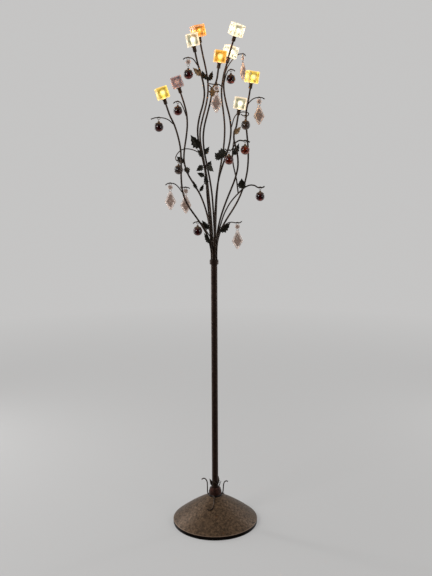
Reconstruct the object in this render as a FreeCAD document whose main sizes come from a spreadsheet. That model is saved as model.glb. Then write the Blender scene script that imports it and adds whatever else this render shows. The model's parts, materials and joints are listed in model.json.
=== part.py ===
import FreeCAD, Part
import math
import os

import Sketcher
from FreeCAD import Placement, Rotation, Vector

# A tree floor lamp: a weighted cone base, a round pole, and nine bent branch tubes
# that spread from one collar, each with a glass cube over a small bulb. Leaves, thin
# twigs and hanging glass drops and balls decorate the branches.
# Millimetres, +Z up, -Y towards the viewer, origin under the middle of the base.

# ---------------------------------------------------------------- driving sizes
SIZES = [
    # base
    ("base_diameter", 300, "outside of the base shell"),
    ("lip_height", 12, "upright edge of the base shell"),
    ("cone_height", 86, "rise of the dished cone above its edge"),
    ("dome_radius", 730, "slight outward bow of the cone"),
    ("shell_wall", 2.5, "sheet thickness of the base shell"),
    ("shell_top_diameter", 48, "flat seat on top of the cone"),
    ("pad_thickness", 2, "felt pad under the base"),
    ("pad_inset", 1, "the pad's edge inside the shell's edge"),
    ("weight_thickness", 14, "cast weight"),
    ("weight_gap", 7.5, "space between the weight and the shell's edge"),
    ("weight_notch_width", 22, "slot in the weight behind the cable inlet"),
    ("weight_notch_depth", 27, "slot in the weight behind the cable inlet"),
    # foot fasteners
    ("nipple_diameter", 10, "threaded lamp tube"),
    ("nipple_bore", 8, "cable way in the threaded tube"),
    ("nipple_window_height", 26, "side opening for the lamp cable"),
    ("nipple_window_width", 6, "side opening for the lamp cable"),
    ("nut_corners", 16.2, "hexagon nut over its corners"),
    ("nut_thickness", 5, "hexagon nut"),
    ("nut_pocket_diameter", 24, "pocket under the weight for the lower nut"),
    ("nut_pocket_depth", 7, "pocket under the weight for the lower nut"),
    # cable inlet
    ("gland_neck_diameter", 8, "cable gland in the edge of the base"),
    ("gland_bore", 5, "cable way in the gland"),
    ("gland_flange_diameter", 10.5, "gland flanges"),
    ("gland_flange_thickness", 1.5, "gland flanges"),
    # electrics in the base
    ("transformer_length", 90, "transformer case"),
    ("transformer_width", 40, "transformer case"),
    ("transformer_height", 26, "transformer case"),
    ("transformer_offset", 52, "transformer case, middle behind the pole"),
    ("terminal_length", 36, "terminal block"),
    ("terminal_width", 18, "terminal block"),
    ("terminal_height", 14, "terminal block"),
    ("terminal_offset", 60, "terminal block, middle beside the pole"),
    ("terminal_hole", 4, "screw wells in the terminal block"),
    # foot and pole
    ("ferrule_flange_diameter", 49, "lower ring of the pole foot"),
    ("ferrule_flange_height", 6, "lower ring of the pole foot"),
    ("ferrule_hub_diameter", 45, "hub of the pole foot, where it is widest"),
    ("ferrule_hub_top_diameter", 38, "hub of the pole foot, at its shoulder"),
    ("ferrule_hub_height", 24, "hub of the pole foot"),
    ("ferrule_shoulder", 3, "sloping top of the hub"),
    ("ferrule_web", 10, "floor under the pole's end"),
    ("pole_diameter", 22, "pole"),
    ("pole_wall", 1.5, "pole"),
    ("pole_length", 832, "pole"),
    # crown
    ("collar_height", 15, "ring that joins the pole and the branches"),
    ("collar_wall", 1.9, "ring that joins the pole and the branches"),
    ("collar_chamfer", 0.8, "broken edges of the collar"),
    ("pole_engagement", 6, "length of pole inside the collar"),
    ("crown_web", 0.8, "metal outside the branch seats"),
    ("branch_seat", 7, "depth of a branch in the crown block"),
    ("wire_hole", 3.4, "way for a lead under each branch"),
    # branches
    ("branch_diameter", 6, "branch tube"),
    ("branch_wall", 0.75, "branch tube"),
    ("bundle_gap", 1.05, "space between neighbours where the tubes leave the collar"),
    ("bundle_rise", 30, "straight length above the collar"),
    ("holder_run", 45, "straight length under each lamp"),
    ("lead_diameter", 3, "pair of wires in each branch"),
    ("lamp_cable_diameter", 4.5, "cable from the transformer to the crown"),
    # lamps
    ("holder_diameter", 12, "lamp holder cup"),
    ("holder_height", 18, "lamp holder cup"),
    ("holder_flange_diameter", 16, "rim that carries the glass"),
    ("holder_flange_thickness", 1.5, "rim that carries the glass"),
    ("holder_socket", 6, "depth of the branch in the holder"),
    ("insert_diameter", 9.4, "ceramic insert"),
    ("insert_height", 10, "ceramic insert"),
    ("insert_recess", 1, "insert below the holder's rim"),
    ("bulb_diameter", 9, "capsule bulb"),
    ("bulb_length", 24, "capsule bulb above the insert"),
    ("pin_diameter", 0.8, "bulb pins"),
    ("pin_length", 6, "bulb pins"),
    ("pin_spacing", 4, "bulb pins"),
    ("cube_side", 38, "glass cube"),
    ("cube_edge", 2.5, "rounding of the glass cube"),
    ("cube_bore", 13, "bore of the cube for the bulb"),
    ("cube_bore_depth", 26, "bore of the cube for the bulb"),
    ("cube_lift_gap", 0.3, "space between the cube and the rim under it"),
    # twigs and tendrils
    ("twig_diameter", 3.4, "thin twigs"),
    ("vine_diameter", 4.6, "two side shoots that carry twigs"),
    ("tendril_diameter", 4, "curled roots at the foot"),
    ("weld_depth", 0.7, "how far a welded end enters the tube wall"),
    # leaves
    ("leaf_thickness", 1, "sheet leaves"),
    ("leaf_rib", 2, "stalk and middle rib"),
    ("leaf_fold", 16, "degrees that each half is folded up"),
    # hanging pieces
    ("ring_radius", 4.6, "hanging ring, middle of the wire"),
    ("ring_wire", 1.3, "hanging ring"),
    ("link_radius", 4.2, "small link, middle of the wire"),
    ("link_wire", 1, "small link"),
    ("bead_diameter", 16, "eight-sided bead"),
    ("bead_thickness", 6, "eight-sided bead"),
    ("bead_hole", 2.6, "holes near the bead's edge"),
    ("bead_hole_inset", 2, "holes near the bead's edge"),
    ("drop_length", 63, "kite-shaped glass drop"),
    ("drop_width", 37, "kite-shaped glass drop"),
    ("drop_thickness", 12, "kite-shaped glass drop"),
    ("drop_shoulder", 36, "height of the widest place under the top"),
    ("drop_tip", 5, "flat at the drop's top and bottom"),
    ("drop_hole_inset", 2.6, "hole near the drop's top"),
    ("ball_diameter", 30, "glass ball"),
    ("cap_height", 7, "metal cap on the ball"),
    ("cap_top_diameter", 7, "metal cap on the ball"),
    ("cap_foot_diameter", 15, "metal cap on the ball"),
    ("eye_radius", 2.6, "eye on the cap, middle of the wire"),
    ("eye_wire", 1.2, "eye on the cap"),
    # fits
    ("slip_clearance", 0.05, "radial, where a tube seats in a bore"),
    ("pass_clearance", 0.3, "radial, where a piece passes a hole or hangs free"),
]

RING_SEATS = "abcdefgh"  # seats around the middle one, anticlockwise
RING_BRANCHES = len(RING_SEATS)
BRANCH_COUNT = RING_BRANCHES + 1

doc = FreeCAD.newDocument("tree_floor_lamp")
sheet = doc.addObject("Spreadsheet::Sheet", "sizes")
for row, (alias, number, note) in enumerate(SIZES, start=1):
    sheet.set("A%d" % row, alias)
    sheet.set("B%d" % row, str(number))
    sheet.set("C%d" % row, note)
    sheet.setAlias("B%d" % row, alias)
ruler = doc.addObject("App::FeaturePython", "ruler")
ruler.addProperty("App::PropertyFloat", "Reading")
doc.recompute()

NODES = {}


# ---------------------------------------------------------------- small helpers
def size(alias):
    """A driving size as a number."""
    return float(sheet.get(alias))


def measure(expression):
    """The number that an expression on the sheet gives, in millimetres."""
    ruler.setExpression("Reading", expression)
    ruler.recompute()
    return ruler.Reading


def keep(label, item):
    """Registers a finished sub-part under its own label."""
    item.Label = label
    NODES[label] = item
    return item


def bound(kind, name, expressions, rotation=None):
    """A primitive whose properties follow the sheet."""
    item = doc.addObject(kind, name)
    if rotation:
        item.Placement = Placement(Vector(), rotation)
    for path, expression in expressions.items():
        item.setExpression(path, expression)
    return item


def cylinder(name, diameter, height, bottom="0", x="0", y="0"):
    """An upright cylinder from its diameter, height and place."""
    return bound("Part::Cylinder", name, {
        "Radius": "(%s) / 2" % diameter,
        "Height": height,
        "Placement.Base.x": x,
        "Placement.Base.y": y,
        "Placement.Base.z": bottom,
    })


def level_rod(name, diameter, length, start_y, height):
    """A cylinder that lies along +Y from start_y."""
    return bound("Part::Cylinder", name, {
        "Radius": "(%s) / 2" % diameter,
        "Height": length,
        "Placement.Base.y": start_y,
        "Placement.Base.z": height,
    }, Rotation(Vector(1, 0, 0), -90))


def block(name, length, width, height, middle_x, middle_y, bottom):
    """A box centred on a point in plan."""
    return bound("Part::Box", name, {
        "Length": length,
        "Width": width,
        "Height": height,
        "Placement.Base.x": "(%s) - (%s) / 2" % (middle_x, length),
        "Placement.Base.y": "(%s) - (%s) / 2" % (middle_y, width),
        "Placement.Base.z": bottom,
    })


def joined(name, items):
    fuse = doc.addObject("Part::MultiFuse", name)
    fuse.Shapes = items
    return fuse


def cut(name, base, tool):
    result = doc.addObject("Part::Cut", name)
    result.Base = base
    result.Tool = tool
    return result


def group(name, items, placement=None):
    """Separate solids that share one placement."""
    result = doc.addObject("Part::Compound", name)
    result.Links = items
    if placement:
        result.Placement = placement
    return result


def attached_sketch(body, role, name):
    """A sketch on one of the body's own origin planes."""
    plane = [item for item in body.Origin.OriginFeatures if item.Role == role][0]
    sketch = body.newObject("Sketcher::SketchObject", name)
    sketch.AttachmentSupport = [(plane, "")]
    sketch.MapMode = "FlatFace"
    return sketch


def arc_middle(start, end, radius, side):
    """The middle of the arc over a chord; side 1 bows to the right of its way."""
    chord = end - start
    half = chord.Length / 2
    rise = radius - math.sqrt(radius**2 - half**2)
    across = Vector(chord.y, -chord.x, 0).normalize()
    return (start + end) / 2 + across * rise * side


def turned_body(name, corners, arcs=None):
    """A body turned about Z from an outline of (radius, height) expressions.

    arcs gives, for an edge's number, its radius and the side it bows to.
    """
    arcs = arcs or {}
    body = doc.addObject("PartDesign::Body", name)
    sketch = attached_sketch(body, "XZ_Plane", name + "_outline")
    points = [Vector(measure(r), measure(z), 0) for r, z in corners]
    edges = []
    for number, start in enumerate(points):
        end = points[(number + 1) % len(points)]
        if number in arcs:
            radius, side = arcs[number]
            middle = arc_middle(start, end, measure(radius), side)
            # An arc in a sketch runs anticlockwise from its first end.
            forward = side > 0
            ends = (start, end) if forward else (end, start)
            edge = sketch.addGeometry(Part.Arc(ends[0], middle, ends[1]))
            ring = sketch.addConstraint(Sketcher.Constraint("Radius", edge, measure(radius)))
            sketch.setExpression("Constraints[%d]" % ring, radius)
        else:
            edge = sketch.addGeometry(Part.LineSegment(start, end))
            forward = True
        edges.append((edge, 1 if forward else 2, 2 if forward else 1))
    for number, (edge, first, _) in enumerate(edges):
        before, _, last = edges[number - 1]
        sketch.addConstraint(Sketcher.Constraint("Coincident", before, last, edge, first))
        for way, text, number_value in (
            ("DistanceX", corners[number][0], points[number].x),
            ("DistanceY", corners[number][1], points[number].y),
        ):
            if abs(number_value) < 0.001:
                axis = -2 if way == "DistanceX" else -1
                sketch.addConstraint(Sketcher.Constraint("PointOnObject", edge, first, axis))
                continue
            index = sketch.addConstraint(
                Sketcher.Constraint(way, -1, 1, edge, first, number_value))
            sketch.setExpression("Constraints[%d]" % index, text)
    turn = body.newObject("PartDesign::Revolution", name + "_turned")
    turn.Profile = sketch
    turn.ReferenceAxis = (sketch, ["V_Axis"])
    turn.Angle = 360
    body.Tip = turn
    return body


def feature(name, shape, placement=None):
    """A shape that no primitive makes; its placement is set after the shape."""
    item = doc.addObject("Part::Feature", name)
    item.Shape = shape
    if placement:
        item.Placement = placement
    return item


# ---------------------------------------------------------------- levels and radii
WEIGHT_BOTTOM = "sizes.pad_thickness"
LIP_TOP = WEIGHT_BOTTOM + " + sizes.lip_height"
SHELL_TOP = LIP_TOP + " + sizes.cone_height"
WEIGHT_TOP = WEIGHT_BOTTOM + " + sizes.weight_thickness"
POLE_FOOT = SHELL_TOP + " + sizes.ferrule_web"
POLE_TOP = POLE_FOOT + " + sizes.pole_length"
COLLAR_FOOT = POLE_TOP + " - sizes.pole_engagement"
CROWN_TOP = COLLAR_FOOT + " + sizes.collar_height"
FERRULE_TOP = SHELL_TOP + " + sizes.ferrule_flange_height + sizes.ferrule_hub_height"

BASE_RADIUS = "sizes.base_diameter / 2"
BUNDLE_RADIUS = (
    "(sizes.branch_diameter + sizes.bundle_gap) / 2 / sin(180 deg / %d)" % RING_BRANCHES
)
CROWN_RADIUS = (
    BUNDLE_RADIUS + " + sizes.branch_diameter / 2 + sizes.slip_clearance + sizes.crown_web"
)
CROWN_BORE = CROWN_RADIUS + " + sizes.slip_clearance"
POLE_BORE = "sizes.pole_diameter / 2 + sizes.slip_clearance"
COLLAR_RADIUS = "max(%s; %s) + sizes.collar_wall" % (CROWN_BORE, POLE_BORE)
SEAT_BORE = "sizes.branch_diameter + 2 * sizes.slip_clearance"
NIPPLE_HOLE = "sizes.nipple_diameter + 2 * sizes.pass_clearance"


# ---------------------------------------------------------------- base
def make_base():
    """Pad, cast weight and bowed sheet shell."""
    keep("base_pad", cylinder(
        "pad", "sizes.base_diameter - 2 * sizes.pad_inset", "sizes.pad_thickness"))

    disc = cylinder(
        "weight_disc",
        "sizes.base_diameter - 2 * (sizes.shell_wall + sizes.weight_gap)",
        "sizes.weight_thickness", WEIGHT_BOTTOM)
    pocket = cylinder(
        "nut_pocket", "sizes.nut_pocket_diameter", "sizes.nut_pocket_depth", WEIGHT_BOTTOM)
    hole = cylinder("weight_hole", NIPPLE_HOLE, "sizes.weight_thickness", WEIGHT_BOTTOM)
    weight_edge = BASE_RADIUS + " - sizes.shell_wall - sizes.weight_gap"
    notch = block(
        "inlet_notch", "sizes.weight_notch_width", "2 * sizes.weight_notch_depth",
        "sizes.weight_thickness", "0", weight_edge, WEIGHT_BOTTOM)
    keep("base_weight", cut("weight", disc, joined("weight_cuts", [pocket, hole, notch])))

    # Outline of the shell: up the edge, over the bowed cone, across the flat top and
    # back down inside at the sheet's thickness.
    inner_foot = BASE_RADIUS + " - sizes.shell_wall"
    slope = "sizes.cone_height / (%s - sizes.shell_top_diameter / 2)" % BASE_RADIUS
    drop = "sizes.shell_wall * sqrt(1 + (%s) ^ 2)" % slope
    outline = [
        (BASE_RADIUS, WEIGHT_BOTTOM),
        (BASE_RADIUS, LIP_TOP),
        ("sizes.shell_top_diameter / 2", SHELL_TOP),
        ("(%s) / 2" % NIPPLE_HOLE, SHELL_TOP),
        ("(%s) / 2" % NIPPLE_HOLE, SHELL_TOP + " - sizes.shell_wall"),
        (
            "sizes.shell_top_diameter / 2 - ((%s) - sizes.shell_wall) / (%s)" % (drop, slope),
            SHELL_TOP + " - sizes.shell_wall",
        ),
        (
            inner_foot,
            LIP_TOP + " - (%s) + sizes.shell_wall * (%s)" % (drop, slope),
        ),
        (inner_foot, WEIGHT_BOTTOM),
    ]
    skin = turned_body("shell_skin", outline, {
        1: ("sizes.dome_radius", 1),
        5: ("sizes.dome_radius", -1),
    })
    inlet = level_rod(
        "inlet_hole", "sizes.gland_neck_diameter + 2 * sizes.slip_clearance",
        "3 * sizes.shell_wall", BASE_RADIUS + " - 2 * sizes.shell_wall",
        WEIGHT_BOTTOM + " + sizes.lip_height / 2")
    keep("base_shell", cut("shell", skin, inlet))


def make_inlet():
    """The empty cable gland in the back of the base's edge."""
    middle = WEIGHT_BOTTOM + " + sizes.lip_height / 2"
    inside = BASE_RADIUS + " - sizes.shell_wall"
    flange = "sizes.gland_flange_thickness"
    # The flanges stand clear of the round wall by its sag over their own width.
    sag = "%s - sqrt((%s) ^ 2 - (sizes.gland_flange_diameter / 2) ^ 2)" % (
        BASE_RADIUS, BASE_RADIUS)
    neck = level_rod(
        "gland_neck", "sizes.gland_neck_diameter",
        "sizes.shell_wall + 2 * (%s) + %s" % (flange, sag),
        "%s - %s - (%s)" % (inside, flange, sag), middle)
    outer = level_rod(
        "gland_outer", "sizes.gland_flange_diameter", flange, BASE_RADIUS, middle)
    inner = level_rod(
        "gland_inner", "sizes.gland_flange_diameter", flange,
        "%s - %s - (%s)" % (inside, flange, sag), middle)
    bore = level_rod(
        "gland_way", "sizes.gland_bore", "sizes.shell_wall + 4 * (%s)" % flange,
        "%s - 2 * (%s)" % (inside, flange), middle)
    keep("cable_gland", cut("gland", joined("gland_body", [neck, outer, inner]), bore))


def make_electrics():
    """Transformer and terminal block on the weight, inside the shell."""
    keep("transformer", block(
        "transformer_case", "sizes.transformer_length", "sizes.transformer_width",
        "sizes.transformer_height", "0", "sizes.transformer_offset", WEIGHT_TOP))
    body = block(
        "terminal_body", "sizes.terminal_width", "sizes.terminal_length",
        "sizes.terminal_height", "-sizes.terminal_offset", "0", WEIGHT_TOP)
    wells = []
    for across in (-1, 1):
        for along in (-1, 0, 1):
            wells.append(cylinder(
                "well_%d" % len(wells), "sizes.terminal_hole", "sizes.terminal_height / 2",
                WEIGHT_TOP + " + sizes.terminal_height / 2",
                "-sizes.terminal_offset + %d * sizes.terminal_width / 4" % across,
                "%d * sizes.terminal_length / 3" % along))
    keep("terminal_block", cut("terminal", body, joined("wells", wells)))


def make_foot():
    """Threaded tube, its two nuts and the ferrule that holds the pole."""
    bottom = WEIGHT_BOTTOM + " + sizes.nut_pocket_depth - sizes.nut_thickness"
    length = (
        "sizes.weight_thickness - sizes.nut_pocket_depth + 2 * sizes.nut_thickness"
        " + sizes.lip_height - sizes.weight_thickness + sizes.cone_height + sizes.ferrule_web"
    )
    outside = cylinder("nipple_outside", "sizes.nipple_diameter", length, bottom)
    inside = cylinder("nipple_inside", "sizes.nipple_bore", length, bottom)
    window = block(
        "nipple_window", "sizes.nipple_window_width", "sizes.nipple_diameter / 2",
        "sizes.nipple_window_height", "0", "sizes.nipple_diameter / 4",
        WEIGHT_TOP + " + sizes.nipple_window_height")
    keep("stem_nipple", cut("nipple", outside, joined("nipple_cuts", [inside, window])))

    nuts = []
    for name, level in (("lower", bottom), ("upper", POLE_FOOT)):
        hexagon = bound("Part::Prism", name + "_hexagon", {
            "Circumradius": "sizes.nut_corners / 2",
            "Height": "sizes.nut_thickness",
            "Placement.Base.z": level,
        })
        hexagon.Polygon = 6
        hole = cylinder(
            name + "_nut_hole", "sizes.nipple_diameter + 2 * sizes.slip_clearance",
            "sizes.nut_thickness", level)
        nuts.append(cut(name + "_nut", hexagon, hole))
    keep("stem_nuts", group("nuts", nuts))

    flange_top = SHELL_TOP + " + sizes.ferrule_flange_height"
    outline = [
        ("(%s) / 2" % NIPPLE_HOLE, SHELL_TOP),
        ("sizes.ferrule_flange_diameter / 2", SHELL_TOP),
        ("sizes.ferrule_flange_diameter / 2", SHELL_TOP + " + sizes.ferrule_flange_height / 2"),
        ("sizes.ferrule_hub_diameter / 2", flange_top),
        ("sizes.ferrule_hub_diameter / 2", flange_top + " + sizes.ferrule_hub_height / 3"),
        ("sizes.ferrule_hub_top_diameter / 2", FERRULE_TOP + " - sizes.ferrule_shoulder"),
        (POLE_BORE + " + sizes.pole_wall", FERRULE_TOP),
        (POLE_BORE, FERRULE_TOP),
        (POLE_BORE, POLE_FOOT),
        ("(%s) / 2" % NIPPLE_HOLE, POLE_FOOT),
    ]
    keep("foot_ferrule", turned_body("ferrule", outline))


# ---------------------------------------------------------------- pole and crown
def make_pole():
    outside = cylinder("pole_outside", "sizes.pole_diameter", "sizes.pole_length", POLE_FOOT)
    inside = cylinder(
        "pole_inside", "sizes.pole_diameter - 2 * sizes.pole_wall", "sizes.pole_length",
        POLE_FOOT)
    keep("pole", cut("pole_tube", outside, inside))


def make_collar():
    """A ring with a lower bore for the pole and an upper bore for the crown block."""
    broken = "sizes.collar_chamfer"
    outline = [
        (POLE_BORE, COLLAR_FOOT),
        (COLLAR_RADIUS + " - " + broken, COLLAR_FOOT),
        (COLLAR_RADIUS, COLLAR_FOOT + " + " + broken),
        (COLLAR_RADIUS, CROWN_TOP + " - " + broken),
        (COLLAR_RADIUS + " - " + broken, CROWN_TOP),
        (CROWN_BORE, CROWN_TOP),
        (CROWN_BORE, POLE_TOP),
        (POLE_BORE, POLE_TOP),
    ]
    keep("pole_collar", turned_body("collar", outline))


def circle_sketch(body, name, radius, distance, height):
    """A circle at a distance from the axis, at a height in the body."""
    sketch = attached_sketch(body, "XY_Plane", name)
    sketch.setExpression("AttachmentOffset.Base.z", height)
    middle = Vector(measure(distance), 0, 0)
    sketch.addGeometry(Part.Circle(middle, Vector(0, 0, 1), measure(radius)))
    ring = sketch.addConstraint(Sketcher.Constraint("Radius", 0, measure(radius)))
    sketch.setExpression("Constraints[%d]" % ring, radius)
    sketch.addConstraint(Sketcher.Constraint("PointOnObject", 0, 3, -1))
    if middle.x:
        along = sketch.addConstraint(
            Sketcher.Constraint("DistanceX", -1, 1, 0, 3, middle.x))
        sketch.setExpression("Constraints[%d]" % along, distance)
    else:
        sketch.addConstraint(Sketcher.Constraint("PointOnObject", 0, 3, -2))
    return sketch


def make_crown_block():
    """The disc that the branch tubes stand in, on top of the pole."""
    body = doc.addObject("PartDesign::Body", "crown")
    height = "sizes.collar_height - sizes.pole_engagement"
    pad = body.newObject("PartDesign::Pad", "crown_disc")
    pad.Profile = circle_sketch(body, "crown_outline", CROWN_RADIUS, "0", POLE_TOP)
    pad.setExpression("Length", height)
    body.Tip = pad
    doc.recompute()
    holes = (
        ("seat", "(%s) / 2" % SEAT_BORE, "sizes.branch_seat"),
        ("lead_way", "sizes.wire_hole / 2", height),
    )
    for kind, radius, depth in holes:
        for place, distance in (("middle", "0"), ("ring", BUNDLE_RADIUS)):
            name = kind + "_" + place
            pocket = body.newObject("PartDesign::Pocket", name)
            pocket.Profile = circle_sketch(body, name + "_circle", radius, distance, CROWN_TOP)
            pocket.setExpression("Length", depth)
            body.Tip = pocket
            if place == "ring":
                pattern = body.newObject("PartDesign::PolarPattern", name + "_pattern")
                pattern.Originals = [pocket]
                pattern.Axis = (pocket.Profile[0], ["N_Axis"])
                pattern.Angle = 360
                pattern.Occurrences = RING_BRANCHES
                body.Tip = pattern
            doc.recompute()
    half_step = Placement(Vector(), Rotation(Vector(0, 0, 1), SEAT_TURN))
    keep("crown_block", group("crown_turned", [body], half_step))


# ---------------------------------------------------------------- routes
STRAIGHT = math.radians(0.5)  # a smaller turn has no arc
ARC_SHARE = 0.45  # share of the shorter run that an arc takes


def rounded_route(points):
    """Straight runs joined by tangent arcs, each as large as its two runs allow."""
    edges = []
    here = points[0]
    for before, corner, after in zip(points, points[1:], points[2:]):
        back = before - corner
        ahead = after - corner
        turn = math.pi - back.getAngle(ahead)
        if turn < STRAIGHT:
            continue
        trim = ARC_SHARE * min(back.Length, ahead.Length)
        radius = trim / math.tan(turn / 2)
        start = corner + back.normalize() * trim
        end = corner + ahead.normalize() * trim
        inward = (back + ahead).normalize()
        middle = corner + inward * (radius / math.cos(turn / 2) - radius)
        edges.append(Part.LineSegment(here, start).toShape())
        edges.append(Part.Arc(start, middle, end).toShape())
        here = end
    edges.append(Part.LineSegment(here, points[-1]).toShape())
    return Part.Wire(edges)


def swept(wire, diameter):
    """A round rod along a wire; its volume must match section times length."""
    first = wire.Edges[0]
    start = first.valueAt(first.FirstParameter)
    way = first.tangentAt(first.FirstParameter)
    circle = Part.Wire(Part.makeCircle(diameter / 2, start, way))
    rod = wire.makePipeShell([circle], True, False)
    ideal = math.pi * diameter**2 / 4 * wire.Length
    if abs(rod.Volume / ideal - 1) > 0.01:
        raise ValueError("a swept rod has volume %.1f, not %.1f" % (rod.Volume, ideal))
    return rod


class Route:
    """A rounded route that other pieces are welded to."""

    def __init__(self, points, diameter):
        self.wire = rounded_route(points)
        self.diameter = diameter
        self.samples = self.wire.discretize(Distance=1.0)

    def at(self, height):
        """Place and direction of the route where it passes a height."""
        number = min(
            range(1, len(self.samples) - 1),
            key=lambda k: abs(self.samples[k].z - height))
        way = self.samples[number + 1] - self.samples[number - 1]
        return self.samples[number], way.normalize()

    def weld(self, height, target):
        """The place in the wall, towards a target, where a welded end starts."""
        centre, way = self.at(height)
        out = target - centre
        out = out - way * out.dot(way)
        return centre + out.normalize() * (self.diameter / 2 - size("weld_depth"))

    def trimmed(self, piece, height):
        """The piece without what would stand in the tube's bore at its weld."""
        centre, way = self.at(height)
        reach = 4 * self.diameter
        core = Part.makeCylinder(
            self.diameter / 2 - size("weld_depth"), 2 * reach, centre - way * reach, way)
        return max(piece.cut(core).Solids, key=lambda solid: solid.Volume)


# Each branch, from branch_1 on: its seat in the bundle, the lamp's middle, its lean and
# the compass way of the lean in degrees, the cube's turn, and the points of the bent
# tube. All are millimetres from the middle of the collar's top.
BRANCHES = [
    ("c", (-49, 60, 749), 11, 180, 26, [
        (-5, 13, 82), (-10, 25, 150), (-17, 35, 215), (-22, 42, 270), (-30, 46, 315),
        (-38, 48, 358), (-45, 49, 397), (-45, 51, 431), (-36, 53, 470), (-24, 55, 512),
        (-17, 57, 554), (-18, 59, 593), (-26, 60, 638)]),
    ("f", (-64, -80, 710), 12, 180, 6, [
        (-9, -15, 87), (-16, -28, 155), (-22, -38, 222), (-24, -46, 278), (-32, -52, 327),
        (-42, -57, 368), (-50, -61, 406), (-51, -64, 439), (-44, -67, 477), (-33, -71, 511),
        (-27, -74, 542), (-30, -77, 574), (-39, -79, 610)]),
    ("middle", (76, -5, 747), 21, -34, 28, [
        (2, 0, 100), (4, 0, 155), (8, -1, 219), (16, -2, 272), (29, -4, 315),
        (44, -6, 356), (54, -8, 394), (58, -8, 431), (54, -8, 470), (44, -6, 508),
        (36, -4, 543), (33, -1, 578), (38, 3, 616), (47, 7, 652)]),
    ("g", (22, -42, 662), 8, 0, 5, [
        (2, -17, 87), (-1, -25, 155), (-5, -32, 222), (-13, -38, 277), (-23, -40, 325),
        (-31, -42, 368), (-34, -42, 407), (-30, -42, 444), (-20, -42, 481),
        (-10, -42, 518), (-3, -42, 555)]),
    ("b", (57, 88, 685), 18, 20, 32, [
        (5, 13, 83), (7, 25, 149), (10, 38, 215), (16, 48, 270), (25, 56, 320),
        (33, 62, 363), (37, 66, 404), (38, 70, 443), (34, 74, 487), (28, 78, 529),
        (27, 80, 564), (32, 82, 595)]),
    ("a", (127, 25, 601), 9, 0, 16, [
        (12, 5, 67), (24, 9, 104), (44, 14, 138), (64, 18, 168), (81, 21, 197),
        (94, 23, 227), (105, 24, 259), (113, 25, 298), (116, 25, 341), (114, 25, 384),
        (110, 25, 424), (107, 25, 463), (109, 25, 500)]),
    ("h", (85, -70, 516), 9, 0, 3, [
        (10, -14, 86), (17, -24, 126), (27, -34, 163), (41, -43, 203), (56, -51, 240),
        (70, -57, 276), (79, -62, 312), (79, -66, 345), (72, -68, 376), (65, -70, 403),
        (66, -70, 428)]),
    ("e", (-165, -20, 550), 18, 180, 12, [
        (-19, -10, 80), (-39, -18, 118), (-60, -26, 150), (-81, -31, 180),
        (-96, -33, 208), (-104, -33, 240), (-107, -32, 280), (-106, -30, 326),
        (-107, -28, 372), (-115, -26, 412), (-127, -23, 450)]),
    ("d", (-120, 62, 587), 18, 180, 0, [
        (-12, 10, 83), (-17, 22, 126), (-28, 36, 171), (-46, 48, 217), (-69, 56, 253),
        (-90, 60, 288), (-101, 62, 326), (-99, 62, 365), (-92, 62, 404), (-87, 62, 445),
        (-89, 62, 484)]),
]
SEAT_TURN = 180 / RING_BRANCHES  # the first seat's compass way, in degrees


def crown_top():
    return Vector(0, 0, measure(CROWN_TOP))


def lean_rotation(lean, compass, turn):
    """Upright piece turned about itself, then leaned over a compass way."""
    return (
        Rotation(Vector(0, 0, 1), compass)
        * Rotation(Vector(0, 1, 0), lean)
        * Rotation(Vector(0, 0, 1), turn - compass)
    )


def lamp_placement(middle, lean, compass, turn):
    """Place of a lamp: its origin is the middle of the holder's rim."""
    rotation = lean_rotation(lean, compass, turn)
    below = size("cube_lift_gap") + size("cube_side") / 2
    up = rotation.multVec(Vector(0, 0, 1))
    return Placement(crown_top() + Vector(*middle) - up * below, rotation)


def branch_points(seat_name, placement, bends):
    """From the seat in the crown block, through the bends, to the seat in the holder."""
    top = crown_top()
    foot = Vector()
    if seat_name in RING_SEATS:
        compass = math.radians(SEAT_TURN + RING_SEATS.index(seat_name) * 360 / RING_BRANCHES)
        foot = Vector(math.cos(compass), math.sin(compass), 0) * measure(BUNDLE_RADIUS)
    up = placement.Rotation.multVec(Vector(0, 0, 1))
    seat = size("holder_height") - size("holder_socket")
    return (
        [top + foot - Vector(0, 0, size("branch_seat"))]
        + [top + foot + Vector(0, 0, size("bundle_rise"))]
        + [top + Vector(*bend) for bend in bends]
        + [placement.Base - up * (seat + size("holder_run"))]
        + [placement.Base - up * seat]
    )


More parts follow.
